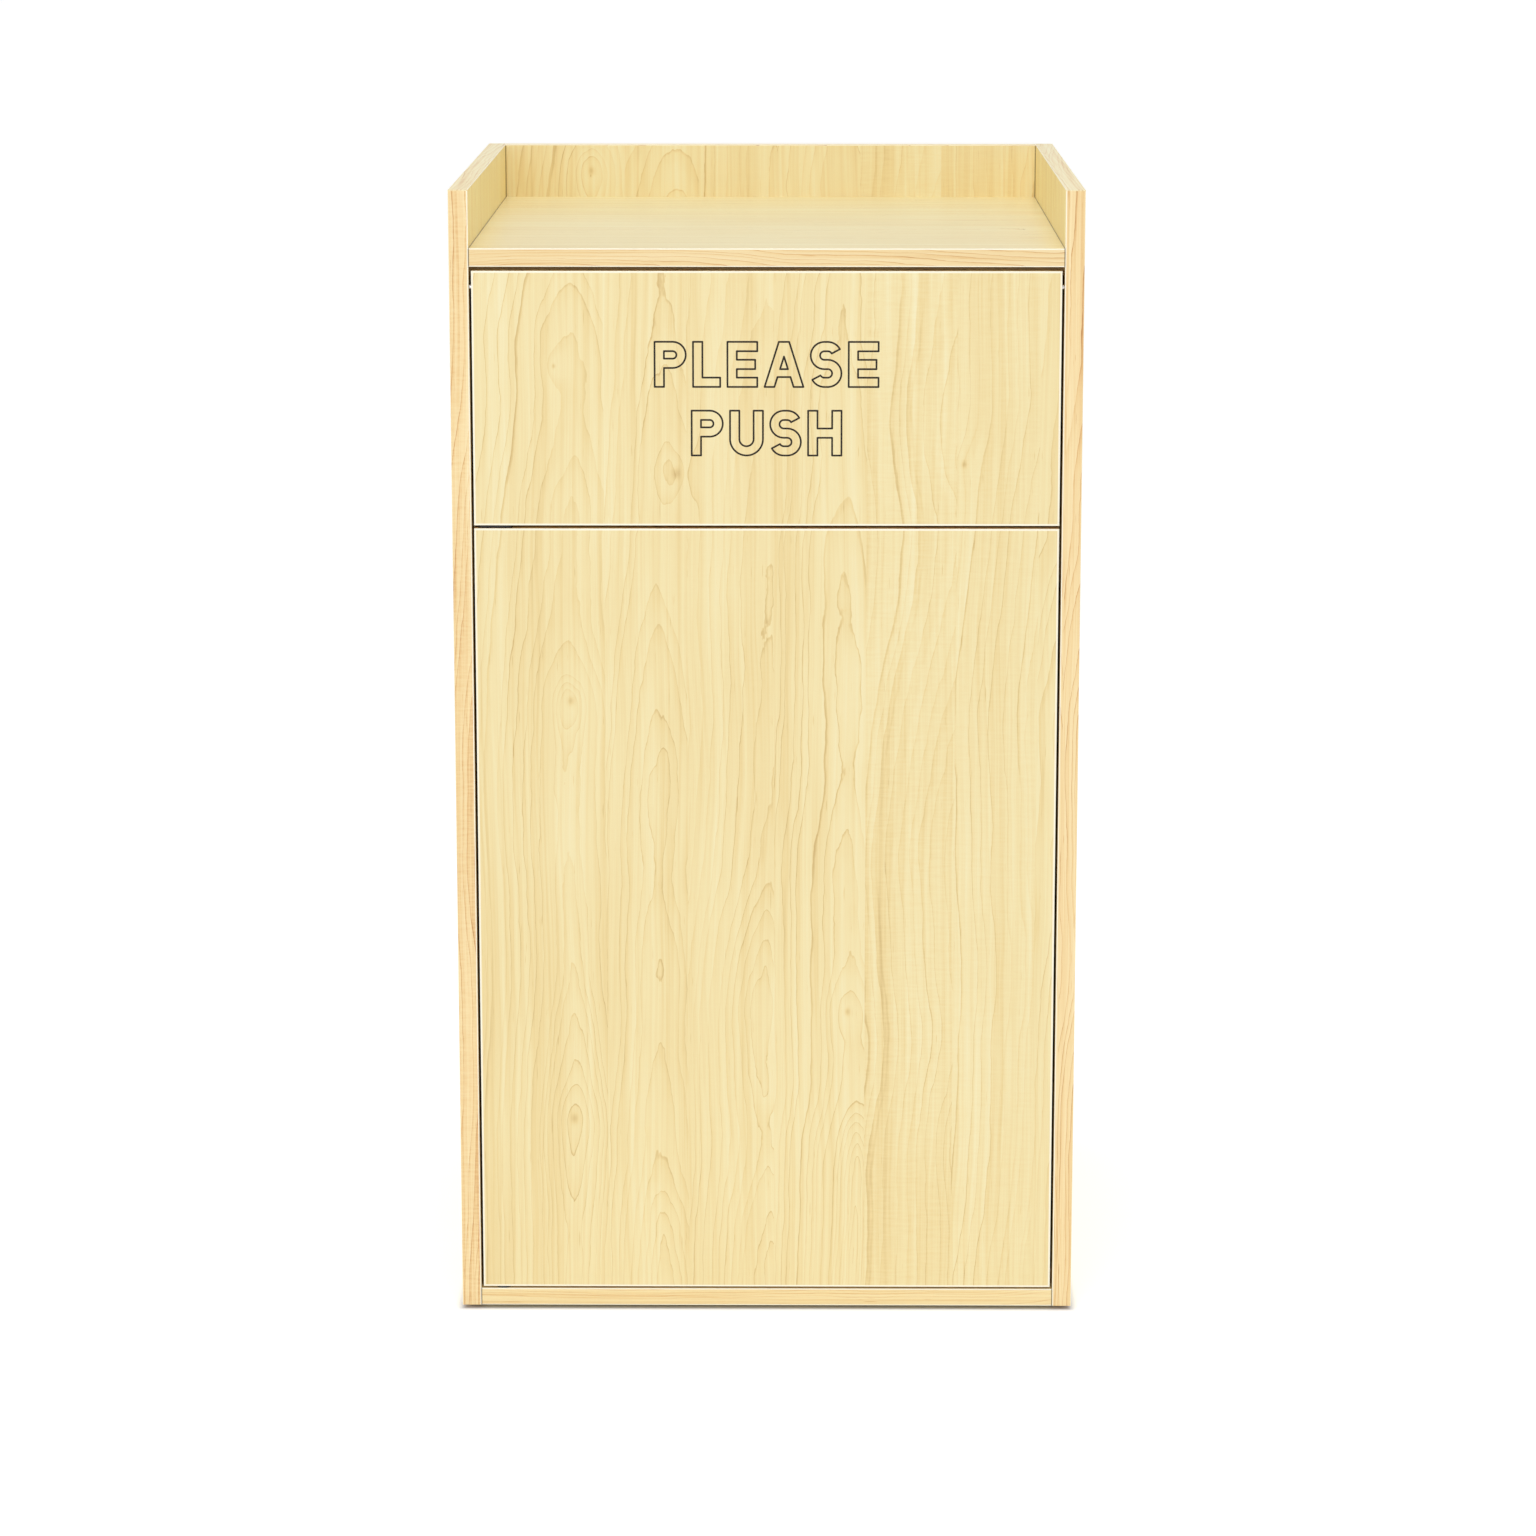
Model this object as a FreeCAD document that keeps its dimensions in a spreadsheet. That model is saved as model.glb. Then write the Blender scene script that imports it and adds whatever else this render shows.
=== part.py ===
"""A free-standing drop box cabinet: laminate boards, a push flap, a service door and a lift-out bin.

Millimetres, +Z up, the front faces -Y. The origin is on the floor, under the middle of the cabinet.
"""

import FreeCAD, Part
import math
import os

from FreeCAD import Rotation, Vector

X_AXIS, Y_AXIS, Z_AXIS = Vector(1, 0, 0), Vector(0, 1, 0), Vector(0, 0, 1)
LEFT, RIGHT = -1, 1

DIMENSIONS = [
    # the carcass
    ("cab_width", 610, "overall width"),
    ("cab_depth", 610, "overall depth"),
    ("cab_height", 1118, "overall height, glides included"),
    ("board", 19, "thickness of the sides, the back, the rail, the flap and the door"),
    ("shelf_board", 17.5, "thickness of the tray top and the bottom panel"),
    ("band", 1, "thickness of the edge bands"),
    ("band_round", 0.7, "rounding of the edge bands' outer edges"),
    ("rim_height", 56, "height of the rim above the tray top"),
    # the gaps around the flap and the door
    ("side_gap", 2.5, "gap beside the flap and the door"),
    ("flap_top_gap", 4, "gap between tray top and flap"),
    ("door_top_gap", 3, "gap between flap and door"),
    ("sill_gap", 2, "gap between door and bottom panel"),
    ("flap_height", 246.5, "height of the flap"),
    # the cross rail and the flap's stop
    ("rail_height", 60, "height of the rail behind the top of the door"),
    ("rail_setback", 32, "front plane to the rail's front"),
    ("rail_drop", 0.5, "the rail's top above the door's top"),
    ("strip_height", 10, "height of the flap's stop strip"),
    ("felt_thick", 1.2, "thickness of the felt pads"),
    ("felt_height", 4, "height of the felt pads"),
    ("felt_length", 40, "length of the felt pads"),
    ("seat_clearance", 0.3, "clearance where loose pieces rest"),
    # the flap's pivots
    ("flap_pivot_drop", 16, "flap's top to its pivot axis"),
    ("flap_pin_dia", 5, "diameter of the flap's pivot pins"),
    ("flap_pin_in_side", 15, "the pin's length inside a side panel"),
    ("flap_pin_in_flap", 12, "the pin's length inside the flap"),
    ("flap_bush_dia", 9, "outer diameter of the flap's bushes"),
    ("flap_bush_length", 15, "length of the flap's bushes"),
    ("running_clearance", 0.05, "radial clearance of a pin in its bush"),
    # the door's pivots
    ("door_pivot_inset", 20, "door's edge to its pivot axis"),
    ("door_pivot_depth", 8, "door's front to its pivot axis"),
    ("door_pin_dia", 6, "diameter of the door's pivot pins"),
    ("door_pin_in_door", 14, "the pin's length inside the door"),
    ("door_pin_in_sill", 15, "the pin's length inside the bottom panel"),
    ("door_bush_dia", 10, "outer diameter of the door's bushes"),
    ("door_bush_length", 17, "length of the door's bushes"),
    ("plate_thick", 1.5, "thickness of the top pivot plate"),
    ("plate_width", 34, "width of the top pivot plate"),
    ("plate_front", 3, "front plane to the plate's front edge"),
    ("washer_dia", 14, "diameter of the door's thrust washer"),
    # the magnetic catch
    ("catch_width", 46, "width of the catch"),
    ("catch_height", 15, "height of the catch"),
    ("catch_inset", 60, "inner side of the right panel to the catch"),
    ("magnet_width", 30, "width of the magnet"),
    ("magnet_height", 7, "height of the magnet"),
    ("magnet_proud", 0.6, "the magnet's stand-out from the catch"),
    ("strike_width", 38, "width of the strike plate"),
    ("strike_height", 14, "height of the strike plate"),
    ("strike_thick", 1.2, "thickness of the strike plate"),
    # knock-down fittings
    ("cam_dia", 15, "diameter of the cam discs"),
    ("cam_thick", 12.5, "thickness of the cam discs"),
    ("cam_setback", 24, "board's end to the cam's centre"),
    ("cam_slot", 1.6, "width of the cam's cross recess"),
    ("bolt_dia", 6, "diameter of the cam bolts"),
    ("bolt_in_side", 11, "the bolt's length inside a side panel"),
    ("bolt_in_cam", 2.5, "the bolt's length inside the cam"),
    ("dowel_dia", 8, "diameter of the dowels"),
    ("dowel_in_side", 11, "the dowel's length inside a side panel"),
    ("dowel_in_board", 19, "the dowel's length inside a board's end"),
    ("fitting_clearance", 0.1, "radial clearance of the fittings"),
    ("joint_inset", 70, "board's end to the first cam, along a joint"),
    ("dowel_offset", 32, "cam to its neighbouring dowel"),
    # glides
    ("glide_height", 4, "height of the glides, floor to boards"),
    ("glide_dia", 25, "diameter of the glides"),
    ("glide_inset", 45, "outer corner to a glide's centre"),
    ("nail_dia", 2.4, "diameter of the glides' nails"),
    ("nail_length", 12, "the nail's length inside the bottom panel"),
    # the bin and what locates it
    ("bin_space", 17, "gap between the bin's rim and the rail, the back and the sides"),
    ("bin_headroom", 25, "gap between the bin's top and the rail's underside"),
    ("bin_taper", 26, "the tub's half width at the top, less that at the base"),
    ("bin_wall", 3.2, "wall of the bin"),
    ("bin_corner", 42, "radius of the bin's corners"),
    ("bin_rim", 12, "stand-out of the bin's rim"),
    ("bin_rim_high", 5, "height of the bin's rim"),
    ("hand_hole_width", 110, "width of the bin's hand holes"),
    ("hand_hole_height", 32, "height of the bin's hand holes"),
    ("hand_hole_drop", 40, "the bin's top to its hand holes"),
    ("guide_gap", 8, "gap between the bin's base and its guides"),
    ("guide_size", 19, "width and height of the bin guides"),
    ("guide_setback", 15, "the bin's base edge to a side guide's end"),
    ("stop_size", 16, "width and height of the door's stop block"),
    # wood screws
    ("screw_dia", 3.5, "shank diameter of the wood screws"),
    ("screw_head", 7, "head diameter of the wood screws"),
    ("screw_head_high", 2, "height of the screws' countersunk heads"),
    ("screw_length", 30, "length of the wood screws"),
    ("short_screw", 12, "length of the hardware screws"),
    # the routed lettering
    ("letter_height", 43.5, "height of the capitals"),
    ("letter_stroke", 9, "width of a letter's stroke"),
    ("letter_gap", 7, "space between letters"),
    ("line_gap", 23, "space between the two lines"),
    ("letter_drop", 68, "flap's top to the first line"),
    ("groove_width", 1.8, "width of the routed line"),
    ("groove_depth", 1.2, "depth of the routed line"),
]

# Places shared by several pieces, as expressions on the sheet.
INSIDE = "(dims.cab_width / 2 - dims.board)"
INNER_WIDTH = "(dims.cab_width - 2 * dims.board)"
FRONT = "(-dims.cab_depth / 2)"
BACK_FACE = "(dims.cab_depth / 2 - dims.board)"
SHELF_DEPTH = "(dims.cab_depth - dims.board - dims.band)"
SILL = "(dims.glide_height + dims.shelf_board)"
TRAY_UNDER = "(dims.cab_height - dims.rim_height - dims.shelf_board)"
FLAP_TOP = f"({TRAY_UNDER} - dims.flap_top_gap)"
FLAP_BOTTOM = f"({FLAP_TOP} - dims.flap_height)"
DOOR_TOP = f"({FLAP_BOTTOM} - dims.door_top_gap)"
DOOR_BOTTOM = f"({SILL} + dims.sill_gap)"
LEAF_HALF = f"({INSIDE} - dims.side_gap)"
LEAF_BACK = f"({FRONT} + dims.board)"
RAIL_FRONT = f"({FRONT} + dims.rail_setback)"
RAIL_BACK = f"({RAIL_FRONT} + dims.board)"
RAIL_TOP = f"({DOOR_TOP} + dims.rail_drop)"
RAIL_BOTTOM = f"({RAIL_TOP} - dims.rail_height)"
STRIP_FRONT = f"({LEAF_BACK} + dims.seat_clearance + dims.felt_thick)"
FLAP_AXIS_Z = f"({FLAP_TOP} - dims.flap_pivot_drop)"
FLAP_AXIS_Y = f"({FRONT} + dims.board / 2)"
DOOR_AXIS_X = f"(-{LEAF_HALF} + dims.door_pivot_inset)"
DOOR_AXIS_Y = f"({FRONT} + dims.door_pivot_depth)"
CATCH_X = f"({INSIDE} - dims.catch_inset - dims.catch_width / 2)"
CATCH_Z = f"({RAIL_TOP} - dims.rail_height / 2)"
STRIKE_BACK = f"({LEAF_BACK} + dims.strike_thick)"
CATCH_FRONT = f"({STRIKE_BACK} + dims.seat_clearance + dims.magnet_proud)"
BIN_Y = f"(({BACK_FACE} + {RAIL_BACK}) / 2)"
RIM_HALF = f"(min(({BACK_FACE} - {RAIL_BACK}) / 2; {INSIDE}) - dims.bin_space)"
TUB_HALF = f"({RIM_HALF} - dims.bin_rim)"
BASE_HALF = f"({TUB_HALF} - dims.bin_taper)"
BIN_FOOT = f"({SILL} + dims.seat_clearance)"
BIN_TOP = f"({RAIL_BOTTOM} - dims.bin_headroom)"
GUIDE_X = f"({BASE_HALF} + dims.guide_gap)"
GUIDE_HALF = f"({BASE_HALF} - dims.guide_setback)"
REAR_STOP_Y = f"({BIN_Y} + {BASE_HALF} + dims.guide_gap)"

doc = FreeCAD.newDocument("drop_box")


# --- the sheet and the small tools ---------------------------------------------------------------

def make_sheet():
    sheet = doc.addObject("Spreadsheet::Sheet", "dims")
    for row, (alias, value, note) in enumerate(DIMENSIONS, 1):
        sheet.set(f"A{row}", note)
        sheet.set(f"B{row}", str(value))
        sheet.setAlias(f"B{row}", alias)
    doc.recompute()
    return sheet


def size(alias):
    """The number in a cell of the sheet."""
    return float(sheet.get(alias))


def place(expression):
    """The number that an expression on the sheet stands for."""
    return float(probe.evalExpression(expression))


def bind(item, values):
    for name, expression in values.items():
        item.setExpression(name, expression)
    return item


def box(name, corner, lengths):
    """A box from its lowest corner, all six values as expressions."""
    item = doc.addObject("Part::Box", name)
    bind(item, dict(zip(("Length", "Width", "Height"), lengths)))
    bind(item, {f"Placement.Base.{a}": e for a, e in zip("xyz", corner)})
    return item


def cylinder(name, diameter, length, start, axis):
    """A cylinder from the centre of its first end, along axis."""
    item = doc.addObject("Part::Cylinder", name)
    item.Placement.Rotation = Rotation(Z_AXIS, axis)
    bind(item, {"Radius": f"{diameter} / 2", "Height": length})
    bind(item, {f"Placement.Base.{a}": e for a, e in zip("xyz", start)})
    return item


def solid(name, shape):
    """A piece whose shape comes from Part's own functions."""
    item = doc.addObject("Part::Feature", name)
    item.Shape = shape
    return item


def group(name, items):
    item = doc.addObject("Part::Compound", name)
    item.Links = items
    return item


def cut(name, base, tool):
    item = doc.addObject("Part::Cut", name)
    item.Base, item.Tool = base, tool
    return item


def fuse(name, items):
    item = doc.addObject("Part::MultiFuse", name)
    item.Shapes = items
    return item


def rounded(name, base, radius, chosen):
    """base with the edges that chosen(edge) picks filleted."""
    doc.recompute()
    item = doc.addObject("Part::Fillet", name)
    item.Base = base
    item.Edges = [
        (number, radius, radius)
        for number, edge in enumerate(base.Shape.Edges, 1)
        if chosen(edge)
    ]
    return item


def along(edge, axis):
    return edge.tangentAt(edge.FirstParameter).cross(axis).Length < 1e-6


def rod(diameter, length, start, axis):
    return Part.makeCylinder(diameter / 2, length, start, axis)


def publish(name, item):
    """Marks an object as a piece of its own, which gets a file of this name."""
    item.Label = name
    pieces[name] = item
    return item


# --- edge bands ----------------------------------------------------------------------------------

def edge_band(name, corner, lengths, run, outward, side):
    """A thin strip along run whose two long edges on the outward side are rounded."""
    strip = box(name + "_strip", corner, lengths)
    doc.recompute()
    bounds = strip.Shape.BoundBox
    low = Vector(bounds.XMin, bounds.YMin, bounds.ZMin)
    high = Vector(bounds.XMax, bounds.YMax, bounds.ZMax)
    outer = outward.dot(high if side > 0 else low)

    def on_the_outside(edge):
        return along(edge, run) and abs(edge.CenterOfMass.dot(outward) - outer) < 1e-6

    return rounded(name, strip, size("band_round"), on_the_outside)


def make_carcass_bands():
    upright = "(dims.cab_height - dims.band - dims.glide_height)"
    for name, side in (("left", LEFT), ("right", RIGHT)):
        x = "-dims.cab_width / 2" if side == LEFT else INSIDE
        publish(f"{name}_front_band", edge_band(
            f"{name}_front_band", (x, FRONT, "dims.glide_height"),
            ("dims.board", "dims.band", upright), Z_AXIS, Y_AXIS, -1))
        publish(f"{name}_top_band", edge_band(
            f"{name}_top_band", (x, FRONT, "dims.cab_height - dims.band"),
            ("dims.board", "dims.cab_depth", "dims.band"), Y_AXIS, Z_AXIS, 1))
    publish("back_top_band", edge_band(
        "back_top_band", (f"-{INSIDE}", BACK_FACE, "dims.cab_height - dims.band"),
        (INNER_WIDTH, "dims.board", "dims.band"), X_AXIS, Z_AXIS, 1))
    for name, z in (("tray_front_band", TRAY_UNDER), ("bottom_front_band", "dims.glide_height")):
        publish(name, edge_band(
            name, (f"-{INSIDE}", FRONT, z),
            (INNER_WIDTH, "dims.band", "dims.shelf_board"), X_AXIS, Y_AXIS, -1))


def leaf_bands(name, bottom, top, cutters):
    """The four bands round the flap or the door; the upright ones run between the others."""
    width = f"(2 * {LEAF_HALF})"
    upright = f"({top} - {bottom} - 2 * dims.band)"
    strips = [
        edge_band(f"{name}_band_top", (f"-{LEAF_HALF}", FRONT, f"{top} - dims.band"),
                  (width, "dims.board", "dims.band"), X_AXIS, Z_AXIS, 1),
        edge_band(f"{name}_band_bottom", (f"-{LEAF_HALF}", FRONT, bottom),
                  (width, "dims.board", "dims.band"), X_AXIS, Z_AXIS, -1),
        edge_band(f"{name}_band_left", (f"-{LEAF_HALF}", FRONT, f"{bottom} + dims.band"),
                  ("dims.band", "dims.board", upright), Z_AXIS, X_AXIS, -1),
        edge_band(f"{name}_band_right", (f"{LEAF_HALF} - dims.band", FRONT, f"{bottom} + dims.band"),
                  ("dims.band", "dims.board", upright), Z_AXIS, X_AXIS, 1),
    ]
    ring = group(f"{name}_bands_plain", strips)
    return publish(f"{name}_edge_bands", cut(f"{name}_edge_bands", ring, cutters))


# --- knock-down joints ---------------------------------------------------------------------------

def joint_places():
    """{board: [(point on its mid plane at the right panel, way to the cams' face, kind)]}."""
    inset, offset, half = size("joint_inset"), size("dowel_offset"), size("board") / 2
    front, back = place(FRONT), place(BACK_FACE)
    base, top = size("glide_height"), size("cab_height")
    x = place(INSIDE)

    def spread(first, last, cams, point, to_face):
        """cams cam fittings evenly spaced, with a dowel beside the first and the last."""
        steps = [first + (last - first) * n / max(cams - 1, 1) for n in range(cams)]
        dowels = [first + offset] + ([last - offset] if cams > 1 else [])
        return [(point(s), to_face, "cam") for s in steps] + [
            (point(s), to_face, "dowel") for s in dowels
        ]

    def shelf(underside):
        z = underside + size("shelf_board") / 2
        down = -Z_AXIS * (size("shelf_board") / 2)
        return spread(front + inset, back - inset, 2, lambda s: Vector(x, s, z), down)

    rail_y = place(RAIL_FRONT) + half
    rail_z = place(RAIL_BOTTOM) + size("rail_height") / 6
    return {
        "bottom_panel": shelf(base),
        "tray_top": shelf(place(TRAY_UNDER)),
        "back_panel": spread(
            base + 2 * inset, top - size("rim_height") - 2 * inset, 3,
            lambda s: Vector(x, back + half, s), -Y_AXIS * half),
        "cross_rail": spread(
            rail_z, rail_z, 1,
            lambda s: Vector(x, rail_y, s), Y_AXIS * half),
    }


def mirrored(point, side):
    return Vector(side * point.x, point.y, point.z)


def fitting_holes(places, into_side):
    """The holes of every fitting, either in the side panels or in a board's ends."""
    loose = 2 * size("fitting_clearance")
    holes = {LEFT: [], RIGHT: []}
    for side in (LEFT, RIGHT):
        outward = X_AXIS * side
        for point, to_face, kind in places:
            start = mirrored(point, side)
            if into_side:
                diameter, depth = (
                    (size("bolt_dia"), size("bolt_in_side")) if kind == "cam"
                    else (size("dowel_dia"), size("dowel_in_side"))
                )
                holes[side].append(rod(diameter + loose, depth, start, outward))
            elif kind == "cam":
                reach = size("cam_setback")
                face = start - outward * reach + to_face
                holes[side].append(rod(size("bolt_dia") + loose, reach, start, -outward))
                holes[side].append(
                    rod(size("cam_dia") + loose, size("cam_thick") + loose, face, -to_face))
            else:
                holes[side].append(
                    rod(size("dowel_dia") + loose, size("dowel_in_board"), start, -outward))
    return holes


def cam_disc(centre, to_face, towards):
    """One cam: a disc with a cross recess in its face and a bore for the bolt's head."""
    face = centre + to_face
    disc = rod(size("cam_dia"), size("cam_thick"), face, -to_face)
    bore = rod(size("bolt_dia") + 2 * size("fitting_clearance"),
               size("cam_dia") / 2, centre + towards * (size("cam_dia") / 2 - size("bolt_in_cam") - 1),
               towards)
    slot, arm = size("cam_slot"), size("cam_dia") * 0.3
    disc = disc.cut(bore)
    for turn in (0, 90):
        blade = Part.makeBox(2 * arm, slot, 2 * slot, Vector(-arm, -slot / 2, -slot))
        blade.rotate(Vector(), Z_AXIS, turn)
        blade.Placement = FreeCAD.Placement(face, Rotation(Z_AXIS, to_face)).multiply(blade.Placement)
        disc = disc.cut(blade)
    return disc


def make_fittings(joints):
    """Every cam disc, cam bolt and dowel of the carcass."""
    discs, bolts, dowels = [], [], []
    for places in joints.values():
        for side in (LEFT, RIGHT):
            outward = X_AXIS * side
            for point, to_face, kind in places:
                start = mirrored(point, side)
                if kind == "cam":
                    centre = start - outward * size("cam_setback")
                    tip = size("cam_setback") - size("cam_dia") / 2 + size("bolt_in_cam")
                    discs.append(cam_disc(centre, to_face, outward))
                    bolts.append(rod(size("bolt_dia"), tip + size("bolt_in_side"),
                                     start - outward * tip, outward))
                else:
                    inside = size("dowel_in_board")
                    peg = rod(size("dowel_dia"), inside + size("dowel_in_side"),
                              start - outward * inside, outward)
                    dowels.append(peg.makeChamfer(0.8, [e for e in peg.Edges if e.Closed]))
    publish("cam_discs", solid("cam_discs", Part.makeCompound(discs)))
    publish("cam_bolts", solid("cam_bolts", Part.makeCompound(bolts)))
    publish("dowels", solid("dowels", Part.makeCompound(dowels)))


# --- boards --------------------------------------------------------------------------------------

def make_side_panels(joints):
    """The two uprights, bored for the fittings and for the flap's pins."""
    pin_hole = size("flap_pin_in_side")
    pin_at = Vector(place(INSIDE), place(FLAP_AXIS_Y), place(FLAP_AXIS_Z))
    for name, side in (("left", LEFT), ("right", RIGHT)):
        x = "-dims.cab_width / 2" if side == LEFT else INSIDE
        core = box(f"{name}_core", (x, f"{FRONT} + dims.band", "dims.glide_height"),
                   ("dims.board", "dims.cab_depth - dims.band",
                    "dims.cab_height - dims.band - dims.glide_height"))
        holes = [h for p in joints.values() for h in fitting_holes(p, True)[side]]
        holes.append(rod(size("flap_pin_dia"), pin_hole, mirrored(pin_at, side), X_AXIS * side))
        bores = solid(f"{name}_bores", Part.makeCompound(holes))
        publish(f"{name}_side_panel", cut(f"{name}_side_panel", core, bores))


def make_boards(joints):
    """The bottom, the tray top, the back and the cross rail, bored at their ends."""
    shelf = (INNER_WIDTH, SHELF_DEPTH, "dims.shelf_board")
    cores = {
        "bottom_panel": box("bottom_core", (f"-{INSIDE}", f"{FRONT} + dims.band", "dims.glide_height"),
                            shelf),
        "tray_top": box("tray_core", (f"-{INSIDE}", f"{FRONT} + dims.band", TRAY_UNDER), shelf),
        "back_panel": box("back_core", (f"-{INSIDE}", BACK_FACE, "dims.glide_height"),
                          (INNER_WIDTH, "dims.board",
                           "dims.cab_height - dims.band - dims.glide_height")),
        "cross_rail": box("rail_core", (f"-{INSIDE}", RAIL_FRONT, RAIL_BOTTOM),
                          (INNER_WIDTH, "dims.board", "dims.rail_height")),
    }
    extra = {
        "bottom_panel": [sill_pin_hole()] + nail_holes() + screw_holes(guide_screws())
        + screw_holes(stop_block_screws()),
        "tray_top": screw_holes(strip_screws()),
        "cross_rail": screw_holes(plate_screws()) + screw_holes(catch_screws()),
    }
    for name, core in cores.items():
        ends = fitting_holes(joints[name], False)
        holes = ends[LEFT] + ends[RIGHT] + extra.get(name, [])
        bores = solid(f"{name}_bores", Part.makeCompound(holes))
        publish(name, cut(name, core, bores))


# --- screws --------------------------------------------------------------------------------------

def screw(head_at, direction, length):
    """A countersunk wood screw: head_at is the centre of the head's flat top."""
    high = size("screw_head_high")
    head = Part.makeCone(size("screw_head") / 2, size("screw_dia") / 2, high, head_at, direction)
    shank = rod(size("screw_dia"), length - high, head_at + direction * high, direction)
    body = head.fuse(shank).removeSplitter()
    arm, slot = size("screw_head") * 0.28, size("screw_dia") * 0.25
    for turn in (0, 90):
        blade = Part.makeBox(2 * arm, slot, slot, Vector(-arm, -slot / 2, 0))
        blade.rotate(Vector(), Z_AXIS, turn)
        blade.Placement = FreeCAD.Placement(
            head_at, Rotation(Z_AXIS, direction)).multiply(blade.Placement)
        body = body.cut(blade)
    return body


def screw_holes(screws):
    """The countersunk holes that take a list of (head_at, direction, length)."""
    high = size("screw_head_high")
    return [
        Part.makeCone(size("screw_head") / 2, size("screw_dia") / 2, high, head, direction).fuse(
            rod(size("screw_dia"), length - high, head + direction * high, direction)
        ).removeSplitter()
        for head, direction, length in screws
    ]


def screw_set(name, screws):
    return publish(name, solid(name, Part.makeCompound([screw(*s) for s in screws])))


def guide_screws():
    """Two down through each side guide and the rear stop, into the bottom panel."""
    top = place(SILL) + size("guide_size")
    middle = size("guide_size") / 2
    reach, centre = place(GUIDE_HALF) - 2 * size("guide_size"), place(BIN_Y)
    places = [
        Vector(side * (place(GUIDE_X) + middle), centre + end * reach, top)
        for side in (LEFT, RIGHT) for end in (-1, 1)
    ]
    places += [
        Vector(side * reach, place(REAR_STOP_Y) + middle, top) for side in (LEFT, RIGHT)
    ]
    return [(p, -Z_AXIS, size("screw_length")) for p in places]


def stop_block_screws():
    half = size("stop_size") / 2
    head = Vector(place(INSIDE) - half, place(LEAF_BACK) + size("seat_clearance") + half,
                  place(SILL) + size("stop_size"))
    return [(head, -Z_AXIS, size("screw_length"))]


def strip_screws():
    """Up through the flap's stop strip into the tray top."""
    bottom = place(TRAY_UNDER) - size("strip_height")
    y = place(STRIP_FRONT) + size("board") / 2
    return [
        (Vector(share * place(INSIDE), y, bottom), Z_AXIS, size("screw_length") - 4)
        for share in (-0.75, 0, 0.75)
    ]


def plate_screws():
    """Down through the top pivot plate into the cross rail."""
    y = place(RAIL_FRONT) + size("board") / 2
    z = place(RAIL_TOP) + size("plate_thick")
    spread = size("plate_width") / 2 - 8
    return [
        (Vector(place(DOOR_AXIS_X) + side * spread, y, z), -Z_AXIS, size("short_screw"))
        for side in (LEFT, RIGHT)
    ]


def catch_screws():
    """Through the catch's two ears into the cross rail."""
    spread = (size("catch_width") + size("magnet_width")) / 4
    return [
        (Vector(place(CATCH_X) + side * spread, place(CATCH_FRONT), place(CATCH_Z)), Y_AXIS,
         place(RAIL_FRONT) - place(CATCH_FRONT) + size("short_screw"))
        for side in (LEFT, RIGHT)
    ]


def strike_screws():
    """Through the strike plate's ends into the back of the door."""
    spread = size("strike_width") / 2 - size("screw_head") / 2 - 1
    return [
        (Vector(place(CATCH_X) + side * spread, place(STRIKE_BACK), place(CATCH_Z)), -Y_AXIS,
         size("short_screw"))
        for side in (LEFT, RIGHT)
    ]


# --- flap ----------------------------------------------------------------------------------------

def make_flap():
    """The flap's board with its bushes' seats and its lettering, its bands, bushes and pins."""
    seats, bushes, pins = [], [], []
    for name, side in (("left", LEFT), ("right", RIGHT)):
        sign = "-" if side == LEFT else ""
        inward = X_AXIS * -side
        edge = (f"{sign}{LEAF_HALF}", FLAP_AXIS_Y, FLAP_AXIS_Z)
        seats.append(cylinder(f"{name}_flap_seat", "dims.flap_bush_dia", "dims.flap_bush_length",
                              edge, inward))
        blank = cylinder(f"{name}_flap_bush_blank", "dims.flap_bush_dia", "dims.flap_bush_length",
                         edge, inward)
        bore = cylinder(f"{name}_flap_bore", "(dims.flap_pin_dia + 2 * dims.running_clearance)",
                        "dims.flap_pin_in_flap + 1", edge, inward)
        bushes.append(cut(f"{name}_flap_bush", blank, bore))
        start = f"{sign}({INSIDE} + dims.flap_pin_in_side)"
        pin = cylinder(f"{name}_flap_pin_blank", "dims.flap_pin_dia",
                       "dims.flap_pin_in_side + dims.side_gap + dims.flap_pin_in_flap",
                       (start, FLAP_AXIS_Y, FLAP_AXIS_Z), inward)
        pins.append(rounded(f"{name}_flap_pin", pin, 0.6, lambda e: e.Closed))
    seat_pair = group("flap_seats", seats)
    core = box("flap_core", (f"-{LEAF_HALF} + dims.band", FRONT, f"{FLAP_BOTTOM} + dims.band"),
               (f"2 * ({LEAF_HALF} - dims.band)", "dims.board", "dims.flap_height - 2 * dims.band"))
    drilled = cut("flap_drilled", core, seat_pair)
    publish("flap_panel", cut("flap_panel", drilled, solid("flap_routing", lettering())))
    leaf_bands("flap", FLAP_BOTTOM, FLAP_TOP, seat_pair)
    publish("flap_pivot_bushes", group("flap_pivot_bushes", bushes))
    publish("flap_pivot_pins", group("flap_pivot_pins", pins))


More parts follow.
